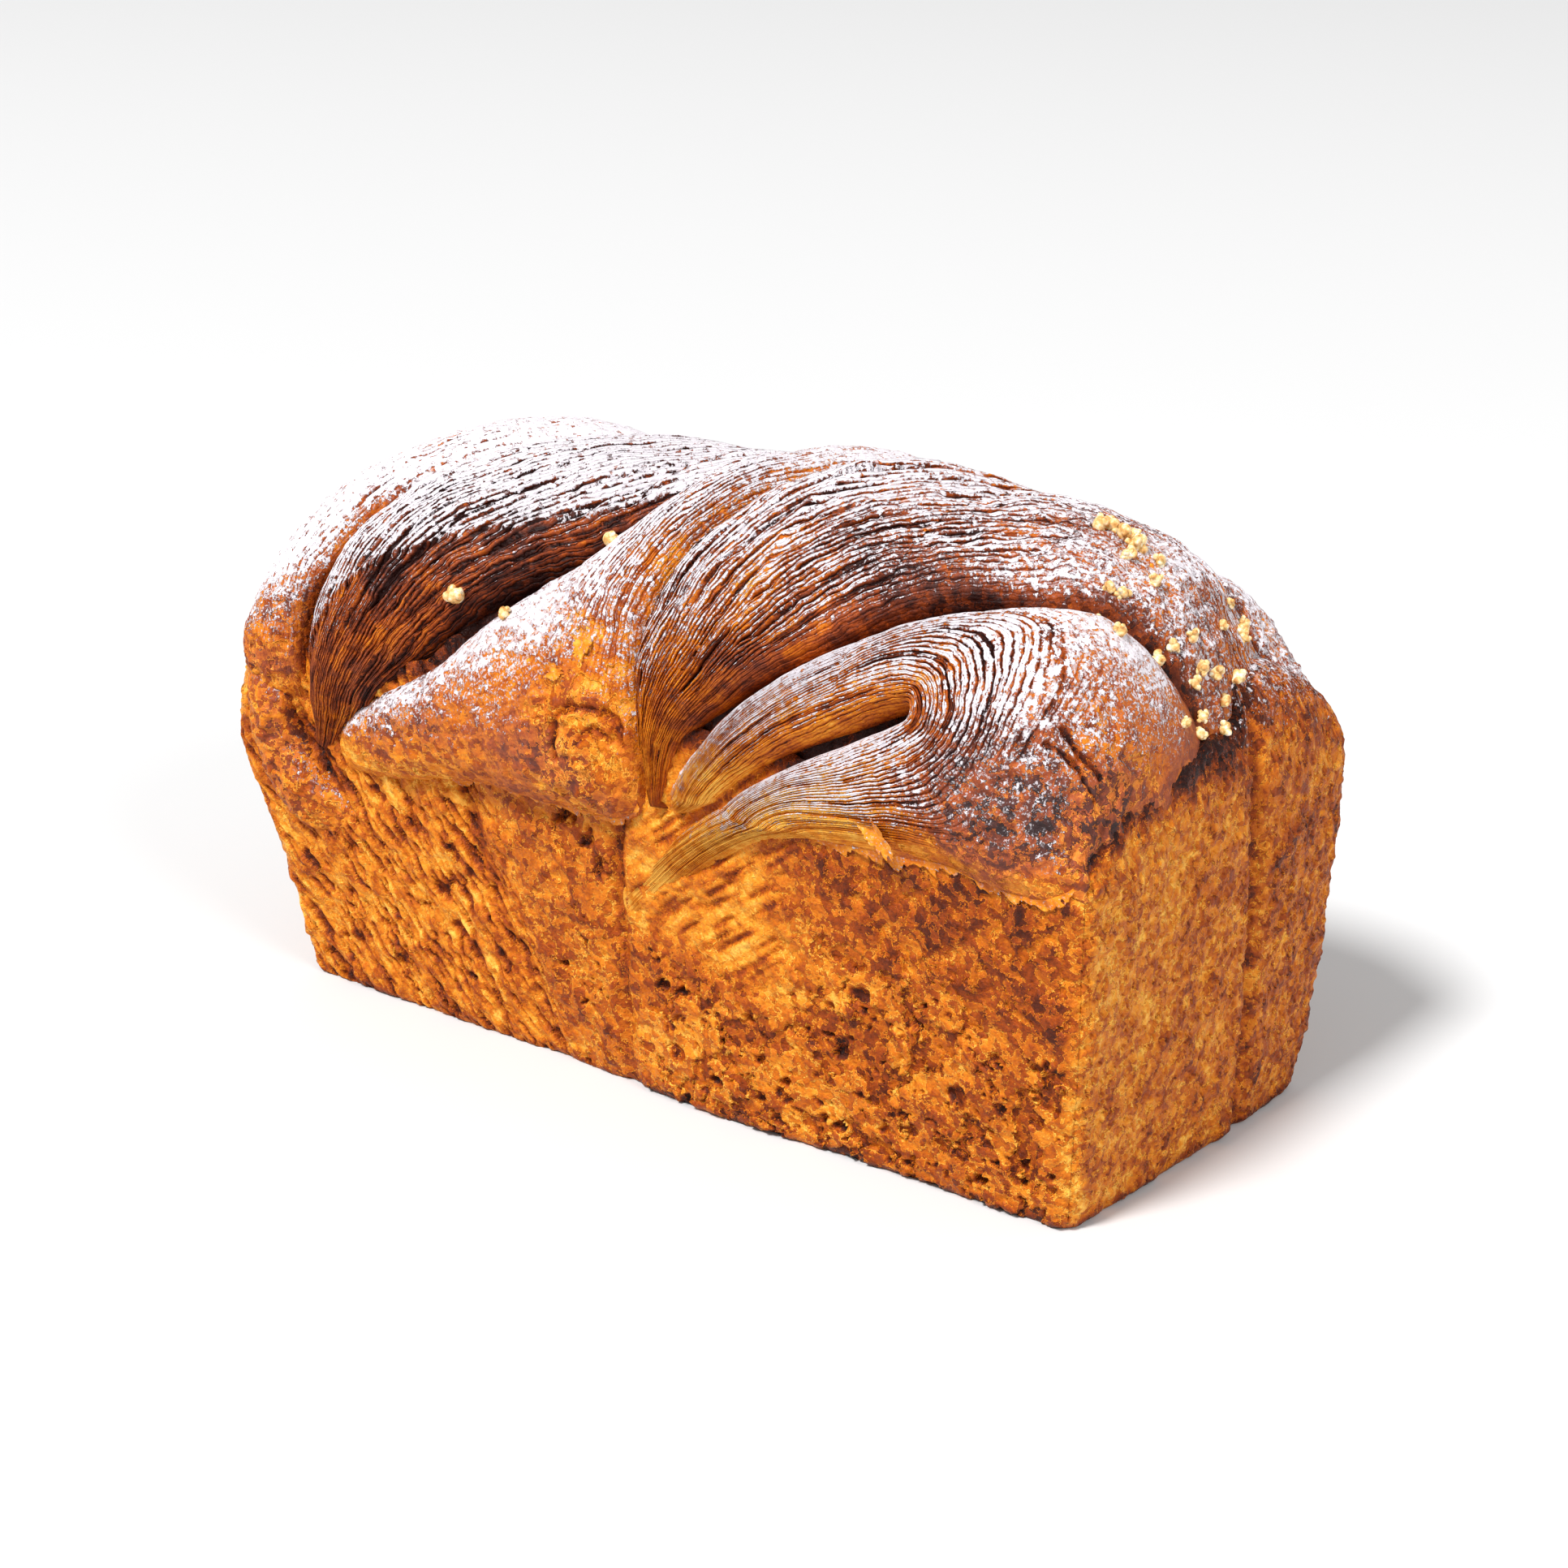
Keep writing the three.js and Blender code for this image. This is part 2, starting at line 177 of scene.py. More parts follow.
def splineThrough(stations, u):
    # Catmull-Rom through the stations, which share u evenly
    p = np.array(stations, float)
    n = len(p) - 1
    t = np.clip(u, 0, 1) * n
    i = np.minimum(t.astype(int), n - 1)
    f = (t - i)[:, None]
    a, b, c, d = p[np.maximum(i - 1, 0)], p[i], p[i + 1], p[np.minimum(i + 2, n)]
    slope0, slope1 = 0.5 * (c - a), 0.5 * (d - b)
    return ((2 * f ** 3 - 3 * f ** 2 + 1) * b + (f ** 3 - 2 * f ** 2 + f) * slope0
            + (3 * f ** 2 - 2 * f ** 3) * c + (f ** 3 - f ** 2) * slope1)


def gridNormals(points):
    du = np.gradient(points, axis=0)
    dv = np.gradient(points, axis=1)
    return unit(np.cross(du, dv))


def inFrame(points):
    # from the tin's middle in millimetres to the shared frame in metres
    return (points + np.array(loafSizes["frameShift"])) * 0.001


def placed(name, data):
    thing = bpy.data.objects.new(name, data)
    bpy.context.scene.collection.objects.link(thing)
    return thing


def meshPiece(name, points, faces, attributes, material):
    mesh = bpy.data.meshes.new(name)
    mesh.vertices.add(len(points))
    mesh.vertices.foreach_set("co", inFrame(points).astype(np.float32).ravel())
    sizes = np.concatenate([np.full(len(part), part.shape[1]) for part in faces])
    mesh.loops.add(int(sizes.sum()))
    mesh.loops.foreach_set("vertex_index", np.concatenate([part.ravel() for part in faces]).astype(np.int32))
    mesh.polygons.add(len(sizes))
    mesh.polygons.foreach_set("loop_start", (np.cumsum(sizes) - sizes).astype(np.int32))
    mesh.polygons.foreach_set("use_smooth", np.ones(len(sizes), bool))
    mesh.update(calc_edges=True)
    mesh.validate()
    for label, values in attributes.items():
        layer = mesh.attributes.new(label, "FLOAT", "POINT")
        layer.data.foreach_set("value", np.asarray(values, np.float32).ravel())
    mesh.materials.append(material)
    return placed(name, mesh)


def gridFaces(rows, columns, closed=False):
    i = np.arange(rows - 1)[:, None]
    k = np.arange(columns if closed else columns - 1)[None, :]
    after = (k + 1) % columns
    a = i * columns + k
    b = i * columns + after
    return np.stack([a, a + columns, b + columns, b], -1).reshape(-1, 4)


def borderOf(rows, columns):
    # the points round the edge of a grid, in order
    grid = np.arange(rows * columns).reshape(rows, columns)
    return np.concatenate([grid[0, :-1], grid[:-1, -1], grid[-1, :0:-1], grid[:0:-1, 0]])


def closedOver(rows, columns, root):
    # a grid's edge, fanned to one inner point, so that the piece is a closed solid
    border = borderOf(rows, columns)
    return np.stack([border, np.roll(border, -1), np.full(len(border), root)], -1)


def colour(code):
    # an sRGB hex value to linear
    channels = [int(code[i:i + 2], 16) / 255 for i in (1, 3, 5)]
    linear = [c / 12.92 if c <= 0.04045 else ((c + 0.055) / 1.055) ** 2.4 for c in channels]
    return (*linear, 1.0)


def addNode(tree, kind, settings=None, links=None, stops=()):
    # settings are the node's own or unlinked sockets', links come from other nodes, stops are a ramp's
    node = tree.nodes.new(kind)
    for key, value in (settings or {}).items():
        if isinstance(key, str) and hasattr(node, key):
            setattr(node, key, value)
        else:
            node.inputs[key].default_value = value
    for key, source in (links or {}).items():
        tree.links.new(source, node.inputs[key])
    for number, (place, code) in enumerate(stops):
        elements = node.color_ramp.elements
        element = elements[number] if number < 2 else elements.new(place)
        element.position = place
        element.color = colour(code)
    return node


def perMetre(millimetres):
    # a pattern's scale from the size of its lumps
    return 1000.0 / millimetres


def newMaterial(name):
    material = bpy.data.materials.new(name)
    material.use_nodes = True
    material.node_tree.nodes.clear()
    return material, material.node_tree


crustNoise = {
    # detail and roughness; each look says how large the lumps are
    "mottle": (4.0, 0.6), "grain": (3.0, 0.65), "clump": (6.0, 0.74), "chip": (4.0, 0.62),
    "speck": (2.0, 0.5),
}


def crustSteps(look):
    # what is worked out for each place on the crust: result, how, and from which numbers or earlier results
    return [
        *[(label + "Swing", "SUBTRACT", label, 0.5) for label in ("mottle", "grain", "clump", "speck")],
        # fine lines between the modelled ridges, wavering a little, darkened in their grooves as painted
        # shade
        ("wavering", "MULTIPLY_ADD", "mottleSwing", 0.8, "layer"),
        ("counted", "MULTIPLY", "wavering", look["lineRate"]),
        ("phase", "FRACT", "counted"),
        ("offMiddle", "SUBTRACT", "phase", 0.5),
        ("halfArch", "ABSOLUTE", "offMiddle"),
        ("arch", "MULTIPLY", "halfArch", 2.0),
        ("steepArch", "POWER", "arch", 3.0),
        ("groove", "MULTIPLY", "steepArch", "lines"),
        # torn places: paler inside, lightest along the thin broken edge, which is paler skin and a painted
        # highlight both
        ("tear", "MULTIPLY_ADD", "grainSwing", look["tearJag"], "torn"),
        ("inside", "EASE", "tear", 0.0, 0.05),
        ("pastEdge", "ADD", "tear", 0.03),
        ("fromEdge", "ABSOLUTE", "pastEdge"),
        ("nearEdge", "EASE", "fromEdge", 0.07, 0.0),
        ("brokenUp", "EASE", "grain", 0.35, 0.6),
        ("edge", "MULTIPLY", "nearEdge", "brokenUp"),
        # small chips of skin, browner than what lies under them, with a lit rim
        ("onChip", "EASE", "chip", 0.5, 0.515),
        ("chipped", "MULTIPLY", "onChip", "flaky"),
        ("pastRim", "SUBTRACT", "chip", 0.495),
        ("fromRim", "ABSOLUTE", "pastRim"),
        ("nearRim", "EASE", "fromRim", 0.018, 0.0),
        ("rim", "MULTIPLY", "nearRim", "flaky"),
        # how brown it baked, along the ramp, with painted shade in the grooves and hollows and painted
        # highlights on rims and torn edges
        ("shade", "MULTIPLY_ADD", "mottleSwing", look["mottleShade"], "toastAndShade"),
        ("shade", "MULTIPLY_ADD", "grainSwing", look["grainShade"], "shade"),
        ("shade", "MULTIPLY_ADD", "groove", look["lineShade"], "shade"),
        ("shade", "MULTIPLY_ADD", "inside", "inner", "shade"),
        ("shade", "MULTIPLY_ADD", "chipped", look["chipShade"], "shade"),
        ("shade", "MULTIPLY_ADD", "rim", -look["rimLight"], "shade"),
        ("shade", "MULTIPLY_ADD", "edge", -look["edgeLight"], "shade"),
        ("shade", "MULTIPLY_ADD", "shadedHollow", look["hollowShade"], "shade"),
        # icing sugar in clumps, over the share of the surface that dust gives, least in the grooves
        ("share", "SUBTRACT", "dust", 0.47),
        ("cover", "MULTIPLY", "share", 2.0),
        ("cover", "MULTIPLY_ADD", "clumpSwing", look["clumpiness"], "cover"),
        ("cover", "MULTIPLY_ADD", "mottleSwing", 1.6, "cover"),
        ("cover", "MULTIPLY_ADD", "groove", -0.4, "cover"),
        ("covered", "EASE", "cover", 0.0, look["sugarEdge"]),
        ("anyDust", "EASE", "dust", 0.0, 0.06),
        ("clumps", "MULTIPLY", "covered", "anyDust"),
        # finer specks between the clumps, and a faint film on dark skin, but none down in the hollows
        ("fall", "MULTIPLY", "dust", 1.3),
        ("fall", "MULTIPLY_ADD", "speckSwing", 4.5, "fall"),
        ("specks", "EASE", "fall", 0.45, 0.85, 0.0, 0.6),
        ("someDust", "EASE", "dust", 0.04, 0.25),
        ("specks", "MULTIPLY", "specks", "someDust"),
        ("darkSkin", "EASE", "toastAndShade", 0.3, 0.55),
        ("film", "MULTIPLY", "darkSkin", look["film"]),
        ("down", "ADD", "shadedHollow", "groove"),
        ("notDown", "EASE", "down", 0.4, 0.0),
        ("haze", "MAXIMUM", "specks", "film"),
        ("haze", "MULTIPLY", "haze", "notDown"),
        ("sugar", "MAXIMUM", "clumps", "haze"),
        # satin skin, and sugar without any gloss
        ("gloss", "EASE", "sugar", 0.0, 1.0, look["roughness"], 0.9),
        # relief too fine for the mesh, in millimetres
        ("relief", "MULTIPLY", "mottleSwing", look["mottleRelief"]),
        ("relief", "MULTIPLY_ADD", "grainSwing", look["grainRelief"], "relief"),
        ("relief", "MULTIPLY_ADD", "groove", -look["lineRelief"], "relief"),
        ("relief", "MULTIPLY_ADD", "inside", -look["tornRelief"], "relief"),
        ("relief", "MULTIPLY_ADD", "chipped", look["chipRelief"], "relief"),
        ("relief", "MULTIPLY_ADD", "sugar", look["sugarRelief"], "relief"),
    ]


def bakedCrust(name, look):
    # Egg-washed, baked laminated dough: satin brown skin over paler layers, torn open in places with
    # light, thin edges that are partly a painted highlight, painted shade in its hollows and grooves,
    # and with icing sugar lying in specks where the dust attribute says.
    material, tree = newMaterial(name)
    place = addNode(tree, "ShaderNodeTexCoord").outputs["Object"]
    known = {}
    for label in ("toastAndShade", "dust", "shadedHollow", "layer", "lines", "torn", "inner", "flaky"):
        known[label] = addNode(tree, "ShaderNodeAttribute", {"attribute_name": label}).outputs["Fac"]
    for label, (detail, roughness) in crustNoise.items():
        settings = {"Scale": perMetre(look[label]), "Detail": detail, "Roughness": roughness}
        known[label] = addNode(tree, "ShaderNodeTexNoise", settings, {"Vector": place}).outputs["Fac"]
    for label, operation, *values in crustSteps(look):
        numbers = {socket: value for socket, value in enumerate(values) if not isinstance(value, str)}
        links = {socket: known[value] for socket, value in enumerate(values) if isinstance(value, str)}
        if operation == "EASE":
            # a soft step from one limit to the other
            settings = {"interpolation_type": "SMOOTHSTEP", **numbers}
            known[label] = addNode(tree, "ShaderNodeMapRange", settings, links).outputs["Result"]
        else:
            settings = {"operation": operation, **numbers}
            known[label] = addNode(tree, "ShaderNodeMath", settings, links).outputs["Value"]
    skin = addNode(tree, "ShaderNodeValToRGB", {}, {"Fac": known["shade"]}, look["ramp"])
    # on a colour mix socket 0 is the factor, 6 the first colour and 7 the second
    tint = addNode(tree, "ShaderNodeMix", {"data_type": "RGBA", 7: colour(look["sugar"])},
                   {0: known["sugar"], 6: skin.outputs["Color"]})
    bump = addNode(tree, "ShaderNodeBump", {"Strength": 1.0, "Distance": 0.001}, {"Height": known["relief"]})
    shader = addNode(tree, "ShaderNodeBsdfPrincipled",
                     {"IOR": 1.45, "Specular IOR Level": look["specular"]},
                     {"Base Color": tint.outputs[2], "Roughness": known["gloss"],
                      "Normal": bump.outputs["Normal"]})
    addNode(tree, "ShaderNodeOutputMaterial", {}, {"Surface": shader.outputs["BSDF"]})
    return material


crustLook = {
    # from the palest inside to the darkest baked skin, whose dark end also gives the painted shade in deep
    # hollows
    "ramp": [(0.0, "#f7b84c"), (0.2, "#e28a1e"), (0.4, "#c26409"), (0.58, "#973f05"), (0.78, "#5a1f03"),
             (1.0, "#220501")],
    "sugar": "#ddd6db", "clumpiness": 6.0, "sugarEdge": 0.18,
    "speck": 0.6,  # millimetres: real icing sugar is far finer, which wouldn't show
    "tearJag": 0.5, "rimLight": 0.3,
    "lineRate": 2.0, "lineShade": 0.3, "lineRelief": 0.3,  # fine lines for each modelled layer
}
layeredLook = {
    **crustLook,
    "mottle": 3.2, "grain": 0.9, "clump": 1.4, "chip": 2.4,  # sizes in millimetres
    "mottleShade": 0.42, "grainShade": 0.45, "hollowShade": 0.55, "chipShade": 0.26, "edgeLight": 0.35,
    "mottleRelief": 0.5, "grainRelief": 0.3, "tornRelief": 0.4, "chipRelief": 0.3, "sugarRelief": 0.25,
    "film": 0.03, "roughness": 0.5, "specular": 0.2,
}
wallLook = {
    **crustLook,
    "mottle": 3.0, "grain": 0.8, "clump": 1.7, "chip": 2.6,
    "mottleShade": 0.26, "grainShade": 0.4, "hollowShade": 0.6, "chipShade": 0.17, "edgeLight": 0.4,
    "mottleRelief": 0.8, "grainRelief": 0.5, "tornRelief": 0.35, "chipRelief": 0.4, "sugarRelief": 0.2,
    "film": 0.0, "roughness": 0.45, "specular": 0.22,
}
layeredCrust = bakedCrust("baked_layered_crust", layeredLook)  # darker, browner and more broken up
wallCrust = bakedCrust("baked_tin_crust", wallLook)  # golden and closer, from the tin's wall
print("materials made")


wallShape = {
    # the way each wall faces, its columns between the corners, its columns on half a corner
    "sides": {"front_wall": (-90, 530, 9), "right_end_wall": (0, 200, 9), "back_wall": (90, 330, 7),
              "left_end_wall": (180, 150, 9)},
    "rows": 150,
    "shoulder": 26,  # rows above the rim, which lean in under the lobes
    "shoulderShrink": 0.965,
    "cornerShrink": 0.925,  # at the back right corner, where no lobe covers the shoulder
    "shoulderInset": 4.0,
    # creases: place at the rim and at the base, depth, width
    "frontCreases": [(-52, -28, 2.6, 7.0), (-4, -6.5, 3.0, 3.6), (60, 66, 1.0, 10.0)],
    "backCreases": [(-36, -44, 2.8, 6.0), (22, 30, 3.8, 4.0), (64, 60, 1.8, 8.0)],
    "rightCreases": [(12, 16, 3.4, 4.2)],
    "leftCreases": [(-14, -8, 3.0, 4.0), (26, 22, 2.4, 6.0)],
    # swells: place, height, reach along and up, how far out
    "frontSwells": [(18, 6, 26, 24, 2.2)],
    "rightSwells": [(18, 4, 48, 44, 3.2)],
    "leftSwells": [(-38, 58, 24, 19, 9.5)],
    "belly": 1.2,
    # bubbles: size, depth, seed, share open
    "bubbles": [(7.0, 1.7, 3, 0.34), (4.0, 1.3, 8, 0.42), (2.2, 0.8, 17, 0.5)],
    # gaps under the lobes at the front, set in and darkened as painted shadow: x, z, reach along and up,
    # lean, depth
    "gaps": [(-92, 60, 7.5, 4.5, 0.9, 2.0), (-20, 59.5, 2.8, 1.3, -0.4, 2.0),
             (-13.5, 56, 1.7, 1.5, -0.6, 1.8), (-9.5, 51, 1.0, 2.4, 0.3, 1.6),
             (-47, 61, 2.6, 1.0, -0.3, 1.2)],
}


def wallPlan(facing, between, onCorner, z):
    # one wall of the tin in plan for each height, with half of the round corner at either end
    s = loafSizes
    share = z / s["rimHeight"]
    inset = 1 - np.clip(z / s["bottomRadius"], 0, 1)
    tuck = s["bottomRadius"] * 0.6 * inset ** 2
    halfLength = mix(s["baseHalfLength"], s["rimHalfLength"], share) - tuck
    halfWidth = mix(s["baseHalfWidth"], s["rimHalfWidth"], share) - tuck
    halfAlong, halfAcross = (halfLength, halfWidth) if facing % 180 else (halfWidth, halfLength)
    radius = s["cornerRadius"]
    start = np.linspace(-45, 0, onCorner, endpoint=False)
    tilt = np.radians(np.concatenate([start, np.zeros(between), -start[::-1]]))
    pace = np.concatenate([-np.ones(onCorner), np.linspace(-1, 1, between), np.ones(onCorner)])
    along = (halfAlong - radius)[:, None] * pace + radius * np.sin(tilt)
    out = (halfAcross - radius)[:, None] + radius * np.cos(tilt) + 0 * pace
    way, ahead = math.radians(facing), math.radians(facing + 90)
    x = along * math.cos(ahead) + out * math.cos(way)
    y = along * math.sin(ahead) + out * math.sin(way)
    normal = np.stack([np.cos(way + tilt), np.sin(way + tilt), np.full_like(tilt, -0.09)], -1)
    points = np.stack([x, y, np.broadcast_to(z[:, None], x.shape)], -1)
    return points, np.broadcast_to(unit(normal), points.shape)


def creaseDepth(creases, place, share):
    total = 0.0
    for atRim, atBase, depth, width in creases:
        offset = (place - mix(atBase, atRim, share)) / width
        total = total + depth * (0.4 + 0.6 * share) * np.exp(-3 * offset * offset)
    return total


def swellOut(swells, place, z):
    total = 0.0
    for at, height, along, up, out in swells:
        total = total + out * np.exp(-((place - at) / along) ** 2 - ((z - height) / up) ** 2)
    return total


def pressedWall(p):
    # creases where lobes met in the tin, and places where the dough pushed out
    s, w = loafSizes, wallShape
    x, y, z = p[..., 0], p[..., 1], p[..., 2]
    sway = 5.0 * (layeredNoise(p, 16.0, 3, 45) - 0.5)
    share = np.clip(z / s["rimHeight"], 0, 1)
    nearEnd = smoothStep(s["baseHalfLength"] - 10, s["baseHalfLength"] - 2, np.abs(x))
    nearSide = smoothStep(s["baseHalfWidth"] - 8, s["baseHalfWidth"] - 1, np.abs(y))
    sideDepth = np.where(y < 0, creaseDepth(w["frontCreases"], x + sway, share),
                         creaseDepth(w["backCreases"], x + sway, share))
    endDepth = np.where(x > 0, creaseDepth(w["rightCreases"], y + sway, share),
                        creaseDepth(w["leftCreases"], y + sway, share))
    crease = smoothStep(0.6, 3.0, sideDepth * nearSide + endDepth * nearEnd)
    sideDepth = sideDepth - np.where(y < 0, swellOut(w["frontSwells"], x, z), 0)
    endDepth = endDepth - np.where(x > 0, swellOut(w["rightSwells"], y, z), swellOut(w["leftSwells"], y, z))
    belly = w["belly"] * np.sin(np.pi * share)
    pressed = np.stack([x - np.sign(x) * (endDepth - belly) * nearEnd,
                        y - np.sign(y) * (sideDepth - belly) * nearSide, z], -1)
    return pressed, crease


def wallZones(x, y, z, halfLength):
    # soft masks from 0 to 1 for the places where the tin-formed skin looks different
    front, back = smoothStep(10, 25, -y), smoothStep(10, 25, y)
    end = smoothStep(halfLength - 4.5, halfLength - 0.5, np.abs(x))
    side = 1 - end
    # layers drawn out on a slant, left on the front and right on the back
    slanting = front * smoothStep(-28, -42, x + (z - 36) * 0.33) * side + back * smoothStep(20, 50, x) * side
    # layers swept up to the folded roll's lower arm
    arc = front * smoothStep(-5, 0, x) * smoothStep(52, 26, x) * smoothStep(34, 50, z + x * 0.25) * side
    # a net of small bubbles beside the middle crease
    net = front * smoothStep(-30, -20, x) * smoothStep(-6, -10, x) * smoothStep(52, 30, z)
    # open, rough crumb low on the right of the front, and browner skin above it
    opened = front * smoothStep(-6, 6, x) + back * smoothStep(20, 0, x)
    opened = opened * smoothStep(66, 44, z + 0.12 * x) * (1 - 0.9 * arc) * side
    brown = front * smoothStep(40, 80, x + 0.25 * z) * side
    return {"front": front, "end": end, "slanting": slanting, "arc": arc, "net": net, "opened": opened,
            "brown": brown}


def openBubbles(bent, medium, plate, zone):
    # bubbles opened at the wall: steep bowls with a raised edge round them; the colour gives the bowls
    # painted shade and the edge a painted highlight
    bowls, rims = np.zeros_like(medium), np.zeros_like(medium)
    for size, deep, seed, share in wallShape["bubbles"]:
        nearest, own = cellNoise(bent * np.array([1, 1, 1.1]) + 0.5 * medium[..., None], size, seed)
        closed = 0.6 * (1 - zone["opened"]) + 0.1 * (1 - plate) - 0.45 * zone["net"] * (size < 5)
        isOpen = smoothStep(share + 0.03, share - 0.03, own + closed)
        isOpen = isOpen * (1 - zone["end"]) * (1 - np.clip(zone["slanting"] + zone["arc"], 0, 1))
        reach = 0.2 + 0.6 * own
        bowls = bowls + deep * isOpen * np.sqrt(np.clip(1 - (nearest / reach) ** 2, 0, 1))
        rims = np.maximum(rims, isOpen * np.exp(-((nearest - reach) / 0.08) ** 2))
    return bowls, rims


def shadowedGaps(x, z, medium, fine, front):
    # recesses under the lobes at the front, which the hollow mask darkens as painted shadow
    gap = 0 * x
    for atX, atZ, along, up, lean, depth in wallShape["gaps"]:
        offX, offZ = x - atX + 6 * medium, z - atZ + lean * (x - atX) + 6 * fine
        gap = gap + depth * front * np.exp(-(offX / along) ** 4 - (offZ / up) ** 4)
    return gap


wallNoise = {
    # size of the lumps in millimetres, how many finer layers, seed
    "warp": (3.0, 2, 51), "coarse": (14.0, 2, 5), "medium": (5.0, 3, 6), "fine": (1.7, 2, 9),
    "drawn": (1.0, 2, 31), "flecks": (1.3, 2, 33), "swept": (1.2, 3, 37), "upright": (1.2, 3, 41),
    "plates": (6.0, 4, 61), "pimples": (1.6, 43),
}
wallRelief = {
    # millimetres that each stands out or goes in
    "coarse": 1.4, "medium": 1.7, "fine": 0.9, "bubbleRim": 0.25, "plate": 0.15, "openPlate": 0.65,
    "brownPlate": 0.3, "drawn": 1.3, "slit": 0.9, "fleck": 0.2, "swept": 1.2, "seam": 0.4, "pimple": 0.9,
    "wrinkle": 0.35,
}
wallToastAndShade = {
    # how much each darkens the skin along the ramp, or pales it where it is taken away below; bubble and
    # crease darken as painted shade, bubbleRim pales as a painted highlight
    "all": 0.37, "coarse": 0.25, "medium": 0.35, "fine": 0.3, "bubbleRim": 0.16, "bubble": 0.08,
    "opened": 0.1, "brown": 0.22, "slanting": 0.02, "backOfEnd": 0.09, "drawn": 0.5, "fleck": 0.12,
    "swept": 0.6, "wrinkle": 0.16, "pimple": 0.45, "end": 0.01, "endMedium": 0.15, "arc": 0.12,
    "bottomEdge": 0.2, "crease": 0.1, "corner": 0.12,
}
# how much painted shade each kind of recess gets
wallHollow = {"bubble": 0.45, "crease": 0.2, "slit": 0.4, "seam": 0.2, "gap": 0.3}


def wallDetail(p, plan, crease):
    # how the tin-formed skin looks from place to place: depth of its relief, how brown, how much painted
    # shade its recesses get, how torn
    s, n = loafSizes, wallNoise
    x, y, z = plan[..., 0], plan[..., 1], plan[..., 2]
    halfLength = mix(s["baseHalfLength"], s["rimHalfLength"], np.clip(z / s["rimHeight"], 0, 1))
    zone = wallZones(x, y, z, halfLength)
    front, end, slanting, arc = zone["front"], zone["end"], zone["slanting"], zone["arc"]
    opened, brown = zone["opened"], zone["brown"]
    plain = (1 - end) * (1 - 0.8 * slanting) * (1 - 0.6 * arc)
    size, detail, seed = n["warp"]
    warp = np.stack([layeredNoise(p, size, detail, seed + axis) - 0.5 for axis in range(3)], -1)
    bent = p + 3.0 * warp
    coarse = layeredNoise(p, *n["coarse"]) - 0.5
    medium = layeredNoise(bent, *n["medium"]) - 0.5
    fine = layeredNoise(bent, *n["fine"]) - 0.5
    # layers drawn out along the wall, in three ways
    leaning = np.stack([x * 0.82 + z * 0.57, (x * 0.57 - z * 0.82) * 0.2, y], -1) + 0.35 * warp
    drawn = layeredNoise(leaning, *n["drawn"])
    flecks = smoothStep(0.6, 0.68, layeredNoise(leaning * np.array([1, 2.2, 1]), *n["flecks"]))
    slits = smoothStep(0.375, 0.345, drawn) * slanting
    sweep = np.stack([(x * 0.8 + z * 0.6) * 0.1, z * 0.8 - x * 0.6, y], -1)
    swept = layeredNoise(sweep + 0.3 * warp, *n["swept"])
    seams = smoothStep(0.4, 0.34, swept) * arc
    upright = layeredNoise(np.stack([x, y + 0.2 * z, z * 0.4], -1) + 0.5 * warp, *n["upright"])
    wrinkle = smoothStep(0.035, 0.0, np.abs(upright - 0.5)) * end
    pimple = np.clip(valueNoise(bent, *n["pimples"]) - 0.5, 0, 1) * end
    # skin plates with torn outlines, standing over the crumb
    tear = layeredNoise(bent + 1.5 * fine[..., None], *n["plates"]) - 0.5 + 0.035 * opened
    plate = smoothStep(-0.008, 0.008, tear)
    bowls, rims = openBubbles(bent, medium, plate, zone)
    gap = shadowedGaps(x, z, medium, fine, front)

    r = wallRelief
    relief = r["coarse"] * coarse + r["medium"] * medium * (1 - 0.3 * end) + r["fine"] * fine
    relief = relief - bowls + r["bubbleRim"] * rims - gap
    plateStep = r["plate"] + r["openPlate"] * opened + r["brownPlate"] * brown
    relief = relief + plateStep * (plate - 0.5) * plain
    relief = relief + (r["drawn"] * (drawn - 0.5) - r["slit"] * slits + r["fleck"] * flecks) * slanting
    relief = relief + (r["swept"] * (swept - 0.5) - r["seam"] * seams) * arc
    relief = relief + r["pimple"] * pimple - r["wrinkle"] * wrinkle
    relief = relief * smoothStep(0, 2.0, z + 0.6)  # none at the bottom edge, which stands on the floor

    # browning, with painted shade in bubbles and creases and a painted highlight on bubble rims
    t = wallToastAndShade
    backOfEnd = smoothStep(0, 40, y) * smoothStep(60, 90, x) * end
    corner = smoothStep(3.0, 0.5, np.abs(np.abs(x) - halfLength + 1.5)) * front * smoothStep(0, 6, z)
    toastAndShade = t["all"] + t["coarse"] * coarse * (1 - 0.5 * end) + t["medium"] * medium + t["fine"] * fine
    toastAndShade = toastAndShade - t["bubbleRim"] * rims + t["bubble"] * bowls - t["opened"] * opened
    toastAndShade = toastAndShade + brown * (t["brown"] - t["opened"] * opened)
    toastAndShade = toastAndShade - t["slanting"] * slanting + t["backOfEnd"] * backOfEnd
    toastAndShade = toastAndShade - (t["drawn"] * (drawn - 0.5) + t["fleck"] * flecks) * slanting
    toastAndShade = toastAndShade - t["swept"] * (swept - 0.5) * arc + t["wrinkle"] * wrinkle - t["pimple"] * pimple
    toastAndShade = toastAndShade + (t["end"] + t["endMedium"] * medium) * end - t["arc"] * arc
    toastAndShade = toastAndShade + t["bottomEdge"] * smoothStep(5, 0, z) + t["crease"] * crease
    toastAndShade = toastAndShade - t["corner"] * corner * (0.4 + plate)

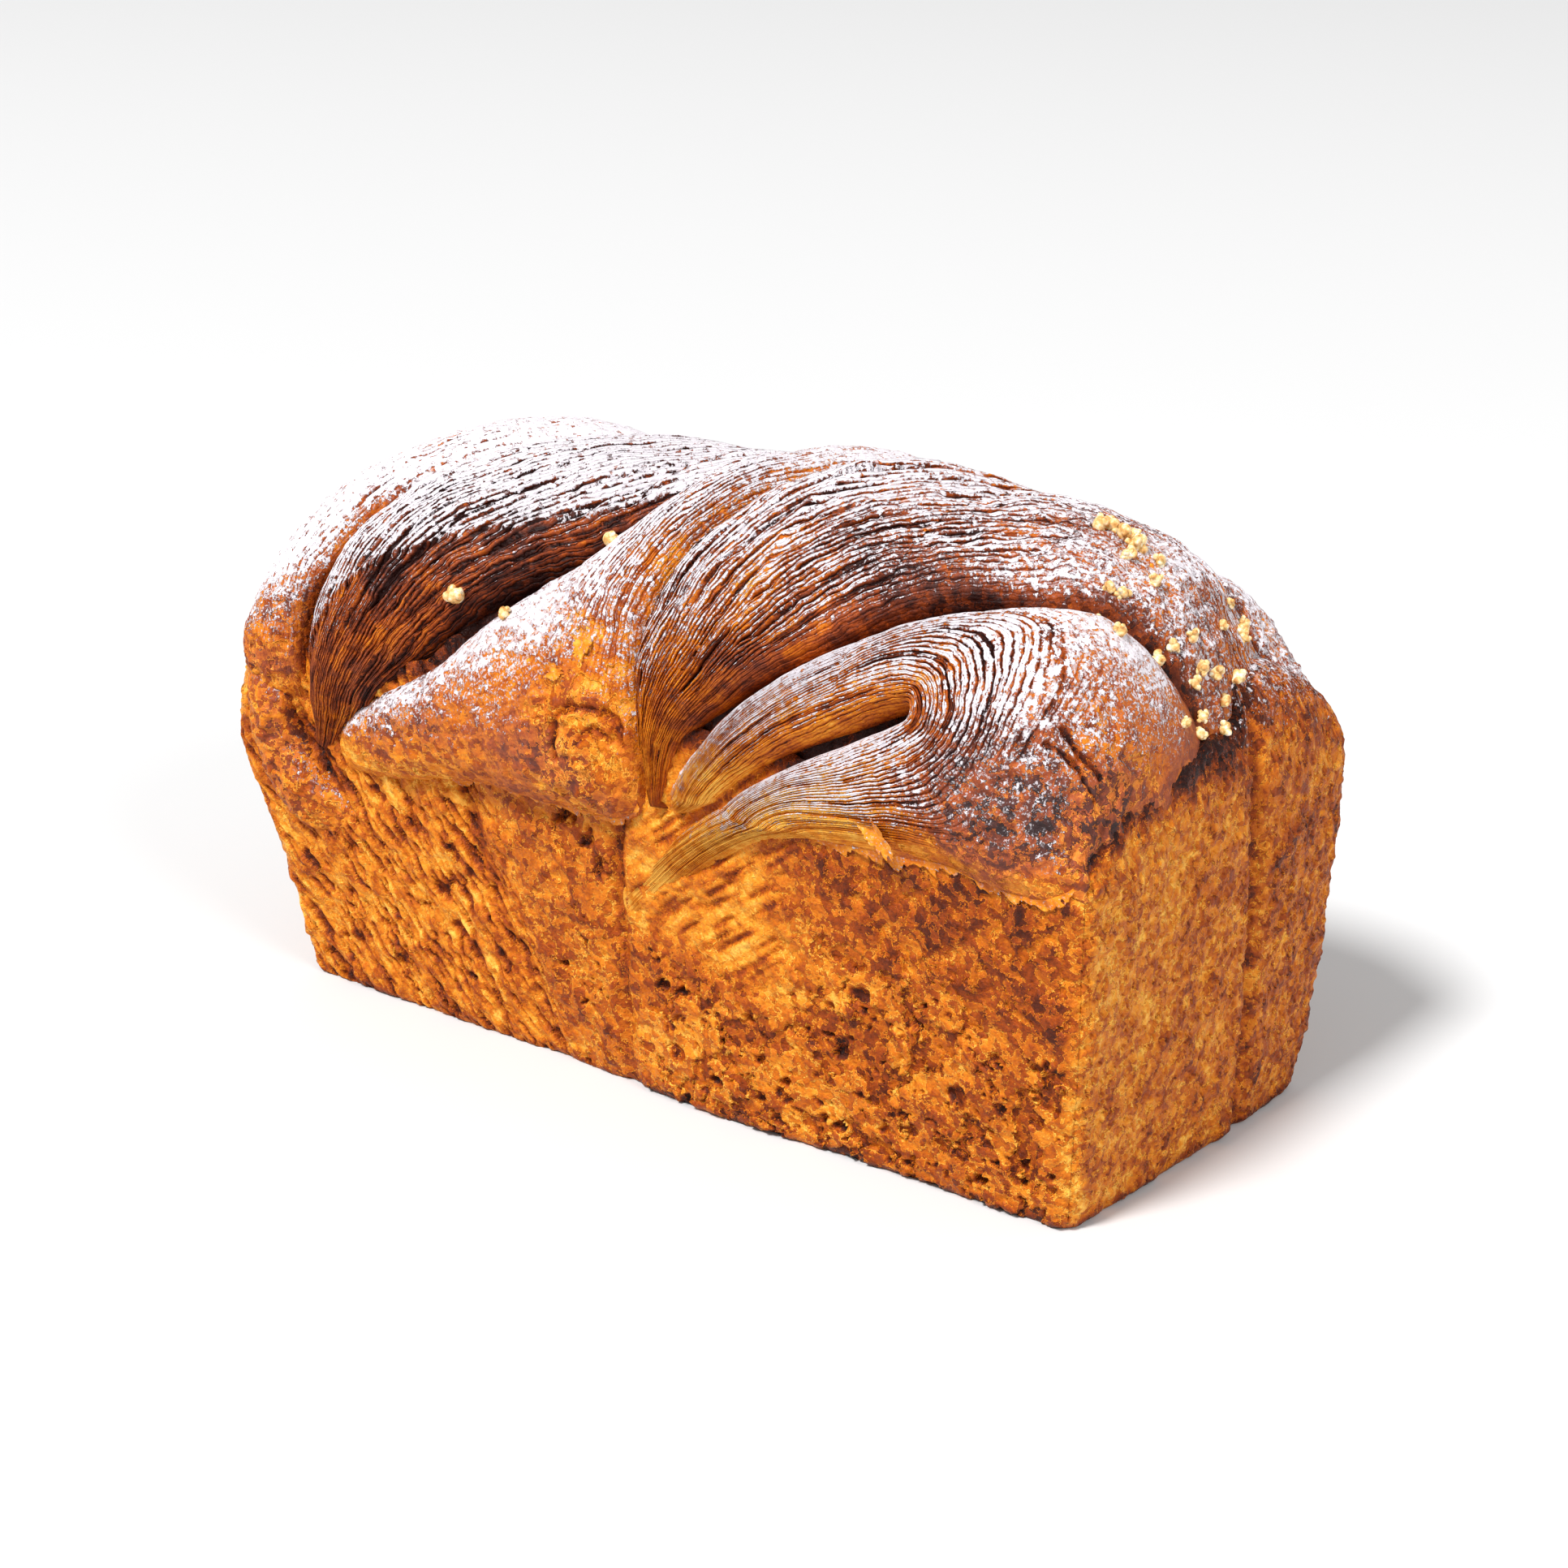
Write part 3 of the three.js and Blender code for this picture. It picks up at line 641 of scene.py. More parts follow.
    # painted shade in bubbles, creases, slits, seams and the gaps under the lobes
    h = wallHollow
    shadedHollow = h["bubble"] * smoothStep(0.2, 1.0, bowls) + h["crease"] * crease + h["slit"] * slits
    shadedHollow = shadedHollow + h["seam"] * seams + h["gap"] * gap
    inner = (0.13 * opened - 0.2 * brown * (1 - opened) + 0.05) * plain
    return {"relief": relief, "toastAndShade": toastAndShade, "shadedHollow": np.clip(shadedHollow, 0, 1), "torn": -8.0 * tear,
            "inner": inner, "flaky": plain + 0.85 * end + 0.4 * slanting * (1 - end)}


def makeWall(name, facing, between, onCorner):
    s, w = loafSizes, wallShape
    z = np.concatenate([[0.0, 0.6], np.linspace(s["bottomRadius"], s["rimHeight"], w["rows"] - 2)])
    plan, normals = wallPlan(facing, between, onCorner, z)
    p, crease = pressedWall(plan)
    # the shoulder curves from the rim to the ring on which the lobes sit
    rim, level = p[-1], plan[-1]
    corner = smoothStep(70, 104, rim[:, 0]) * smoothStep(0, 35, rim[:, 1])
    shrink = mix(w["shoulderShrink"], w["cornerShrink"], corner)[:, None]
    ring = np.sign(level) * np.minimum(np.abs(rim), np.abs(level)) * shrink
    inset = w["shoulderInset"] * (1 - 0.55 * corner)
    ring[:, 2] = s["rimHeight"] + np.maximum(domeRise(ring) - inset, 0.5)
    ring = leanIn(ring)
    t = np.linspace(0, 1, w["shoulder"] + 1)[1:, None, None]
    inward, upward = 1 - np.cos(0.5 * np.pi * t), np.sin(0.5 * np.pi * t)
    shoulder = rim + (ring - rim) * np.concatenate([inward, inward, upward], -1)
    p = np.concatenate([p, shoulder])
    higher = plan[-1] + (shoulder - rim) * np.array([0, 0, 1])
    plan = np.concatenate([plan, higher])
    crease = np.concatenate([crease, crease[-1] * (1 - t[..., 0])])
    normals = np.concatenate([normals, np.repeat(normals[-1:], w["shoulder"], axis=0)])
    detail = wallDetail(p, plan, crease)
    # towards the lobes the skin is darker, gets painted shade down in the grooves, and caught some icing
    # sugar
    up = np.concatenate([np.zeros((w["rows"], 1)), t[..., 0]])
    behind = smoothStep(-20, 20, plan[..., 1])
    detail["toastAndShade"] = detail["toastAndShade"] + 0.14 * up
    detail["shadedHollow"] = np.maximum(detail["shadedHollow"], 0.75 * smoothStep(0.25, 0.7, up) * (1 - corner))
    detail["dust"] = 0.42 * smoothStep(0.2, 1.0, up) * behind
    q = p + normals * detail["relief"][..., None]
    q[0, :, 2] = 0.0
    rows, columns = q.shape[:2]
    root = np.array([[q[..., 0].mean() * 0.3, q[..., 1].mean() * 0.3, s["rimHeight"] * 0.5]])
    fan = closedOver(rows, columns, rows * columns)
    faces = [gridFaces(rows, columns)[:, ::-1], fan[:, ::-1]]
    attributes = {label: np.append(detail[label], 0.0) for label in detail if label != "relief"}
    wall = meshPiece(name, np.concatenate([q.reshape(-1, 3), root]), faces, attributes, wallCrust)
    return wall, q[0, :-1], q[-1, :-1]


coreShape = {
    "underRings": (0.02, 0.35, 0.7, 0.93),  # shares of the bottom edge
    "foot": ([0.97, 0.94, 0], [0, 0, 4.0]),  # share of the bottom edge, and how far up
    "collar": [0.99, 0.98, 1],  # share of the walls' upper edge
    "domeShares": [0.88, 0.66, 0.33],
}


def makeCore(bottom, rim):
    # the underside, and the crumb that shows at the bottom of the grooves between lobes
    s, c = loafSizes, coreShape
    rows = [bottom * [k, k, 0] for k in c["underRings"]]
    rows += [bottom, bottom * c["foot"][0] + c["foot"][1], rim * c["collar"]]
    for share in c["domeShares"]:
        row = rim * share
        row[:, 2] = s["rimHeight"] + np.maximum(domeRise(row) - s["crumbInset"], 0.5)
        rows.append(leanIn(row))
    count = len(bottom)
    points = np.concatenate(rows)
    first = np.arange(count)
    last = first + (len(rows) - 1) * count
    ends = np.array([[0, 0, 0.0], [0, 0, s["rimHeight"] + domeHeight(np.zeros(1))[0] - s["crumbInset"]]])
    under = np.stack([np.roll(first, -1), first, np.full(count, len(points))], -1)
    top = np.stack([last, np.roll(last, -1), np.full(count, len(points) + 1)], -1)
    grain = layeredNoise(points, 5.0, 3, 71) - 0.5
    # the crumb above the foot is darkened as painted shade, down at the bottom of the grooves
    dark = points[:, 2] > c["foot"][1][2]
    attributes = {"toastAndShade": np.append(0.6 + 0.4 * grain, [0.5, 0.5]), "shadedHollow": np.append(0.9 * dark, [0, 1]),
                  "torn": np.append(3 * grain, [-1, -1]), "flaky": np.ones(len(points) + 2)}
    return meshPiece("crumb_core", np.concatenate([points, ends]),
                     [gridFaces(len(rows), count, closed=True)[:, ::-1], under, top], attributes, wallCrust)


wallParts = [makeWall(name, *side) for name, side in wallShape["sides"].items()]
bottomEdge, upperEdge = [np.concatenate([part[n] for part in wallParts]) for n in (1, 2)]
core = makeCore(bottomEdge, upperEdge)
walls = [core] + [part[0] for part in wallParts]
print("walls made")


# A lobe lies between two edge lines on the skin. u runs along it, v across it from the low line.
# Patches are soft spots at (x, turn) with a reach in both, which change how a place looks.

leftCrease = [(-92.5, -10), (-92.5, 5), (-92.5, 25), (-89.5, 45), (-82.5, 60), (-72.5, 76), (-61.5, 96),
              (-47.5, 125), (-37.5, 155), (-31.5, 190)]
longGroove = [(-86.5, -14), (-72.5, 0), (-58.5, 12), (-47.5, 25), (-34.5, 39), (-20.5, 54), (-8.5, 74),
              (4.5, 108), (16.5, 145), (26.5, 190)]
rightGroove = [(8.5, -3), (14.5, 9), (27.5, 21), (42.5, 36), (54.5, 50), (68.5, 61), (82.5, 68),
               (94.5, 75), (104.5, 82), (109.5, 85)]
topGroove = [(6.5, -4), (2.5, 9), (-1.5, 22), (-0.5, 38), (2.5, 55), (8.5, 75), (18.5, 97), (38.5, 116),
             (74.5, 126), (109.5, 132)]
grooveLift = -8.0
plainLobe = {
    # its section: height of each edge, how much of that along it, its points along and across
    "edgeLift": (grooveLift, grooveLift), "edgeAlong": [1, 1], "size": (400, 235), "skew": 1.0,
    "softOuter": False, "nose": 0.0, "middle": None, "middleAt": 0.4,
    # its layers: how many, how high the ridges are, how many make a bundle and how high that is
    "layers": 30, "ridgeLift": 0.4, "bundle": 5, "bundleLift": 0.5, "ridgesAcross": [1, 1],
    "dust": 0.7, "dustFrom": None, "toastAndShade": 0.4, "patches": [], "slits": [], "lip": None,
    # the dark sides are painted shade down in the grooves, at the low and the high side
    "shadedSides": (0.5, 0.5),  # how dark it gets down in the grooves at the low and the high side
    "clings": 0.22,  # how far round the sides the sugar holds
}

lobes = {
    "left_end_roll": {
        "low": leftCrease,
        "high": [(-109, -10), (-110, 5), (-110, 25), (-110, 45), (-110, 60), (-110, 80), (-110, 100),
                 (-110, 130), (-110, 160), (-110, 190)],
        "crown": [-1, 6, 8, 9, 8, 6, 4, 0.5], "edgeLift": (grooveLift, -1.2), "shadedSides": (0.5, 0),
        "layers": 26, "ridgeLift": 0.3, "bundleLift": 0.4, "dust": 0.95, "seed": 11,
        "patches": [
            {"at": (-104, 2), "reach": (14, 19), "dust": -1.2, "ridges": -1.0, "torn": 0.3, "blisters": 1.0},
            {"at": (-97, 24), "reach": (9, 10), "dust": -0.3, "toastAndShade": 0.1, "ridges": -0.8, "blisters": 0.8},
        ],
    },
    "corner_flap": {
        "low": [(-110, 1), (-110, -12), (-107.5, -26), (-99, -34), (-84, -32)],
        "high": [(-104, 5), (-97.5, -1), (-97, -9), (-91, -20), (-82, -25)],
        "crown": [4, 6, 5.5, 4.5, 1.0], "edgeLift": (0.4, -4.0), "size": (190, 120), "nose": 0.3,
        "shadedSides": (0, 0.3),
        "layers": 8, "ridgeLift": 0.15, "bundleLift": 0.2, "dust": 0.25, "toastAndShade": 0.36, "seed": 12,
        "patches": [{"at": (-97, -16), "reach": (30, 40), "ridges": -1.0, "blisters": 0.9, "torn": 0.12}],
    },
    "left_layered_roll": {
        "low": longGroove, "high": leftCrease,
        "crown": [3, 6, 8, 9, 8, 5, 3, 0.5],
        "layers": 40, "ridgeLift": 0.7, "bundle": 4, "bundleLift": 1.2, "dust": 0.88, "toastAndShade": 0.6,
        "seed": 13,
        "ridgesAcross": [1.9, 1.6, 1.2, 0.9, 0.7],
        "dustFrom": [1.0, 0.86, 0.66, 0.4, 0.2, 0.12, 0.1, 0.08, 0.08],
        "patches": [
            {"at": (-82, -2), "reach": (12, 16), "toastAndShade": -0.16},
            {"at": (-70, 62), "reach": (22, 12), "ridges": -0.5},
        ],
    },
    "middle_roll": {
        "low": [(-88.5, -21), (-66, -17), (-41.5, -12), (-17.5, -12), (3.5, -9), (5.5, 10), (1.5, 30),
                (4.5, 58), (12.5, 84), (26.5, 118), (48.5, 190)],
        "nose": 0.07, "shadedSides": (0, 0.5),
        "high": [(-87, -4), (-70.5, 3), (-55.5, 12), (-43.5, 26), (-33.5, 38), (-24.5, 48),
                 (-14.5, 62), (-5.5, 80), (6.5, 112), (16.5, 145), (26.5, 190)],
        "crown": [2, 6, 8, 10, 9, 8, 7, 5, 0.5],
        "layers": 24, "ridgeLift": 0.12, "bundleLift": 0.15, "dust": 0.68, "toastAndShade": 0.4, "seed": 14,
        "patches": [
            {"at": (-60, -2), "reach": (44, 22), "ridges": -1.0, "blisters": 0.8},
            {"at": (-66, -14), "reach": (40, 6), "dust": -0.4, "toastAndShade": -0.12, "torn": 0.25},
            {"at": (-9, 3), "reach": (14, 20), "dust": -0.9, "toastAndShade": -0.02, "torn": 0.3, "ridges": -1.0,
             "blisters": 1.0},
            {"at": (-6, 26), "reach": (9, 12), "dust": -0.3, "toastAndShade": -0.06, "torn": 0.3},
            {"at": (-30, 32), "reach": (34, 14), "dust": 0.05, "ridges": -0.8, "blisters": 0.6},
            {"at": (0, 62), "reach": (16, 34), "ridges": 4.0},
        ],
        "slits": [{"line": [(-12.5, 3), (-11.5, 10.5), (-6.5, 13), (0, 11.5), (1.5, 7)], "width": 0.7,
                   "depth": 1.0},
                  {"line": [(-6.5, 6), (-3.5, 9.5), (-0.5, 7.5)], "width": 0.5, "depth": 0.5}],
        "lip": {"edge": "low", "along": (0.08, 0.42), "row": 12, "reach": 2.4, "curl": 0.5},
    },
    "fan_roll": {
        "low": rightGroove, "high": topGroove,
        "crown": [2, 5, 7, 9, 9, 6, -2], "edgeLift": (grooveLift, -3.0), "size": (340, 290),
        "edgeAlong": [1, 1, 1, 1, 0.9, 0.4],
        "layers": 42, "ridgeLift": 0.95, "bundle": 4, "bundleLift": 1.8, "dust": 0.58, "toastAndShade": 0.5,
        "seed": 15, "ridgesAcross": [0.3, 0.8, 1, 1.3, 1.2],
        "patches": [
            {"at": (12, 42), "reach": (20, 26), "dust": 0.12, "toastAndShade": -0.05},
            {"at": (8, 2), "reach": (9, 16), "dust": -0.7, "toastAndShade": -0.14},
            {"at": (22, 20), "reach": (16, 12), "dust": -0.3},
            {"at": (27, 42.5), "reach": (7, 9), "toastAndShade": -0.2},
            {"at": (58, 61), "reach": (34, 8), "dust": -0.35, "toastAndShade": 0.14, "ridges": -0.3, "blisters": 0.3},
            {"at": (88, 92), "reach": (38, 28), "ridges": -1.0, "blisters": 0.7, "dust": -0.08},
            {"at": (30, 104), "reach": (26, 14), "ridges": 0.5, "dust": -0.12},
        ],
    },
    "back_roll": {
        "low": [(24.5, 104), (36.5, 114), (54.5, 121), (78.5, 126), (109, 130)],
        "high": [(44.5, 190), (58.5, 190), (74.5, 190), (92.5, 190), (108.5, 190)],
        "crown": [1, 5, 7, 5, 0.8], "edgeLift": (-3.0, -2.0), "shadedSides": (0.3, 0),
        "layers": 34, "ridgeLift": 0.4, "dust": 0.7, "toastAndShade": 0.5, "seed": 16,
        "patches": [{"at": (98, 140), "reach": (20, 50), "dust": -0.1, "ridges": -1.0, "blisters": 0.7}],
    },
    "folded_roll": {
        "low": [(14.5, -5), (23.5, 0), (39.5, 11.6), (54.5, 22.4), (64.5, 30), (65.3, 28.4), (63.5, 26.8),
                (53.5, 19.6), (39.5, 9.6), (17, -5), (-6, -26)],
        "high": [(10.5, 1), (29.5, 23), (58.5, 52), (86.5, 69), (109.5, 84), (109.5, 40), (109.5, 0),
                 (77.5, -1), (42.5, -4), (21, -16), (-0.5, -37)],
        "crown": [2, 6, 7, 8, 9, 8, 7, 5, 3.5, 0.6], "edgeLift": (grooveLift, -1.0), "skew": 0.8,
        "softOuter": True, "shadedSides": (0.5, 0), "clings": 0.45,
        "middle": [(12.9, -2.6), (25.5, 10), (45.5, 29), (64, 43), (77.5, 45), (83, 31), (77, 17), (62, 11),
                   (40.7, 4.2), (18.6, -9.5), (-3.8, -30.5)],
        "layers": 40, "ridgeLift": 0.65, "bundle": 6, "bundleLift": 0.5, "seed": 17, "size": (480, 205),
        "dust": 0.66, "toastAndShade": 0.42, "ridgesAcross": [1, 1, 1, 0.9, 0.6, 0.4],
        # the patches that pale the arms are partly paler golden skin and partly painted light, lifting the
        # shade that falls on them
        "patches": [
            {"at": (4, -22), "reach": (26, 20), "dust": -0.9, "toastAndShade": -0.36, "ridges": -0.3},
            {"at": (22, 4), "reach": (12, 12), "dust": -0.25, "toastAndShade": -0.1},
            {"at": (42, 32), "reach": (26, 20), "dust": 0.45, "toastAndShade": -0.2},
            {"at": (62, 15), "reach": (16, 10), "dust": 0.3, "toastAndShade": -0.1},
            {"at": (36, -7), "reach": (36, 8), "dust": -0.4, "toastAndShade": -0.26},
            {"at": (44, 4), "reach": (34, 10), "toastAndShade": -0.36, "dust": 0.4},
            {"at": (70, 30), "reach": (8, 14), "toastAndShade": -0.12, "dust": -0.2},
            {"at": (104, 40), "reach": (16, 26), "ridges": -0.95, "dust": -0.3, "blisters": 0.8,
             "toastAndShade": 0.05},
            {"at": (92, 16), "reach": (22, 17), "dust": -0.35, "toastAndShade": 0.36, "ridges": -0.95, "torn": 0.1,
             "blisters": 1.0},
            {"at": (92, 2), "reach": (26, 6), "dust": -0.3, "toastAndShade": -0.12, "ridges": -0.9, "torn": 0.4},
            {"at": (97, 66), "reach": (20, 14), "ridges": -0.9, "dust": 0.05},
            {"at": (109, 30), "reach": (6, 40), "dust": -0.5, "toastAndShade": -0.14, "torn": 0.3, "blisters": 0.5},
        ],
        "slits": [{"line": [(96.5, 39.5), (100, 39), (104, 41)], "width": 0.4, "depth": 0.6},
                  {"line": [(95.5, 34), (100, 36), (105, 35)], "width": 0.4, "depth": 0.5}],
        "lip": {"edge": "high", "along": (0.585, 0.84), "row": 14, "reach": 3.2, "curl": 0.7},
    },
}


lobeNoise = {
    # size of the lumps in millimetres, how many finer layers, what is added to the lobe's seed
    "lumps": (13.0, 2, 7), "blister": (2.8, 2, 8), "bubble": (5.0, 2, 18), "pimple": (1.3, 2, 19),
    "lip": (7.0, 2, 4), "tears": (3.6, 3, 15), "sugar": (15.0, 2, 9),
}
lobeRelief = {
    # millimetres, except for ridge, groove and slot, which are shares of the ridge and bundle heights
    "ridge": 0.5, "groove": 0.9, "bundle": 0.9, "slot": 0.8,
    "lumps": 1.4, "blister": 0.45, "roughBlister": 1.5, "roughBubble": 0.5, "roughPimple": 1.0,
    "lipStep": 0.9, "tornStep": 0.4, "slitRim": 0.4,
}
lobeToastAndShade = {
    # how much each darkens the skin along the ramp, or pales it where it is taken away below; sides is
    # painted shade, ownRidge and ridge a painted highlight on high ridges
    "lumps": 0.35, "blister": 0.3, "sides": 0.2, "roughBlister": 0.5, "roughBubble": 0.12, "rough": 0.06,
    "ownRidge": 0.3, "ridge": 0.14,
}
# how much painted shade grooves, slots and slits get
lobeHollow = {"groove": 0.85, "slot": 0.75, "slit": 0.6}
lobeDust = {"spread": 0.45, "ridge": 0.26, "groove": 0.4, "shadedHollow": 0.5, "underLip": 0.75, "most": 0.85}
layerShape = {
    # how the layers wander: lengths in millimetres along the lobe, the rest in layers
    "driftAlong": 24.0, "driftAcross": 7.0, "drift": 1.6,
    "waverSize": 2.2, "waver": 0.5,
    "ridgeLength": 11.0, "bundleLength": 17.0, "bundleDrift": 0.7,
    "slotWidth": 0.22,
}


def stationsAt(values, u):
    return np.interp(u, np.linspace(0, 1, len(values)), values)


def patchSum(lobe, x, turn, kind):
    total = np.zeros_like(x)
    for patch in lobe["patches"]:
        if kind in patch:
            (atX, atTurn), (reachX, reachTurn) = patch["at"], patch["reach"]
            away = ((x - atX) / reachX) ** 2 + ((turn - atTurn) / reachTurn) ** 2
            total = total + patch[kind] * np.exp(-away * 1.5)
    return total


def distanceTo(line, points):
    # how far places on the skin are from a curve on it, in millimetres
    curve = splineThrough(line, np.linspace(0, 1, 20))
    ends = skinPoint(curve[:, 0], curve[:, 1])
    best = np.full(points.shape[:-1], 99.0)
    for a, b in zip(ends, ends[1:]):
        ab = b - a
        t = np.clip(((points - a) @ ab) / (ab @ ab), 0, 1)
        best = np.minimum(best, np.linalg.norm(points - a - t[..., None] * ab, axis=-1))
    return best


def lobeForm(lobe, u, v):
    # places on the skin between the two lines, and the smooth crowned form lifted from them
    low = splineThrough(lobe["low"], u)[:, None, :]
    high = splineThrough(lobe["high"], u)[:, None, :]
    crown = splineThrough([(height, 0.0) for height in lobe["crown"]], u)[:, :1]
    place = mix(low, high, v[..., None])
    if lobe["middle"]:
        # a third line, which rounds the ridges where the two edges turn sharply
        third = splineThrough(lobe["middle"], u)[:, None, :]
        straight = mix(low, high, lobe["middleAt"])
        pull = np.where(v < lobe["middleAt"], v / lobe["middleAt"], (1 - v) / (1 - lobe["middleAt"]))
        place = place + (third - straight) * np.sin(0.5 * np.pi * pull)[..., None]
    blunt = np.ones_like(u)[:, None]
    if lobe["nose"]:
        # a blunt, rounded end
        blunt = (1 - np.clip(1 - u / lobe["nose"], 0, 1) ** 2.5)[:, None] ** (1 / 2.5)
        centre = mix(low, high, 0.5)
        place = centre + (place - centre) * blunt[..., None]
    limit = loafSizes["rimHalfLength"] - 0.4
    x = np.clip(place[..., 0], -limit, limit)
    turn = place[..., 1]
    edge = mix(*lobe["edgeLift"], v) * stationsAt(lobe["edgeAlong"], u)[:, None]
    away = 2 * v ** lobe["skew"] - 1
    bulge = (1 - np.abs(away) ** 2.4) ** (1 / 2.4)
    if lobe["softOuter"]:
        # the outer side slopes down to the wall instead of standing on it
        bulge = np.where(away > 0, 1 - np.abs(away) ** 2.6, bulge)
    lift = edge + (crown - edge) * bulge * blunt
    normal = skinNormal(x, turn)
    return x, turn, bulge, normal, skinPoint(x, turn) + normal * lift[..., None]


def lobeLayers(lobe, smooth, run, v):
    # thin layers: each ridge has its own height, which changes slowly along it
    k, seed, tag = layerShape, lobe["seed"], np.full_like(run, lobe["seed"])
    drift = np.stack([run / k["driftAlong"], v * lobe["layers"] / k["driftAcross"] + 0 * run, tag], -1)
    layer = lobe["layers"] * v + k["drift"] * (layeredNoise(drift, 1.0, 2, seed) - 0.5)
    layer = layer + k["waver"] * (layeredNoise(smooth, k["waverSize"], 2, seed + 1) - 0.5)
    index = np.floor(layer)
    own = layeredNoise(np.stack([index * 7.3, run / k["ridgeLength"], tag], -1), 1.0, 3, seed + 3)
    ridge = 1 - np.abs(2 * (layer - index) - 1) ** 2.2
    groove = (1 - ridge) * smoothStep(0.66, 0.42, own)
    # bundles of layers, with wide slots between some of them
    bundle = layer / lobe["bundle"] + k["bundleDrift"] * (layeredNoise(drift, 1.6, 2, seed + 5) - 0.5)
    index = np.floor(bundle)
    toEdge = np.minimum(bundle - index, 1 - (bundle - index))
    bundleOwn = layeredNoise(np.stack([index * 5.1, run / k["bundleLength"], tag], -1), 1.0, 2, seed + 6)
    slot = smoothStep(k["slotWidth"], 0.0, toEdge) * smoothStep(0.6, 0.42, bundleOwn)
    return layer, own, ridge, groove, bundleOwn, slot


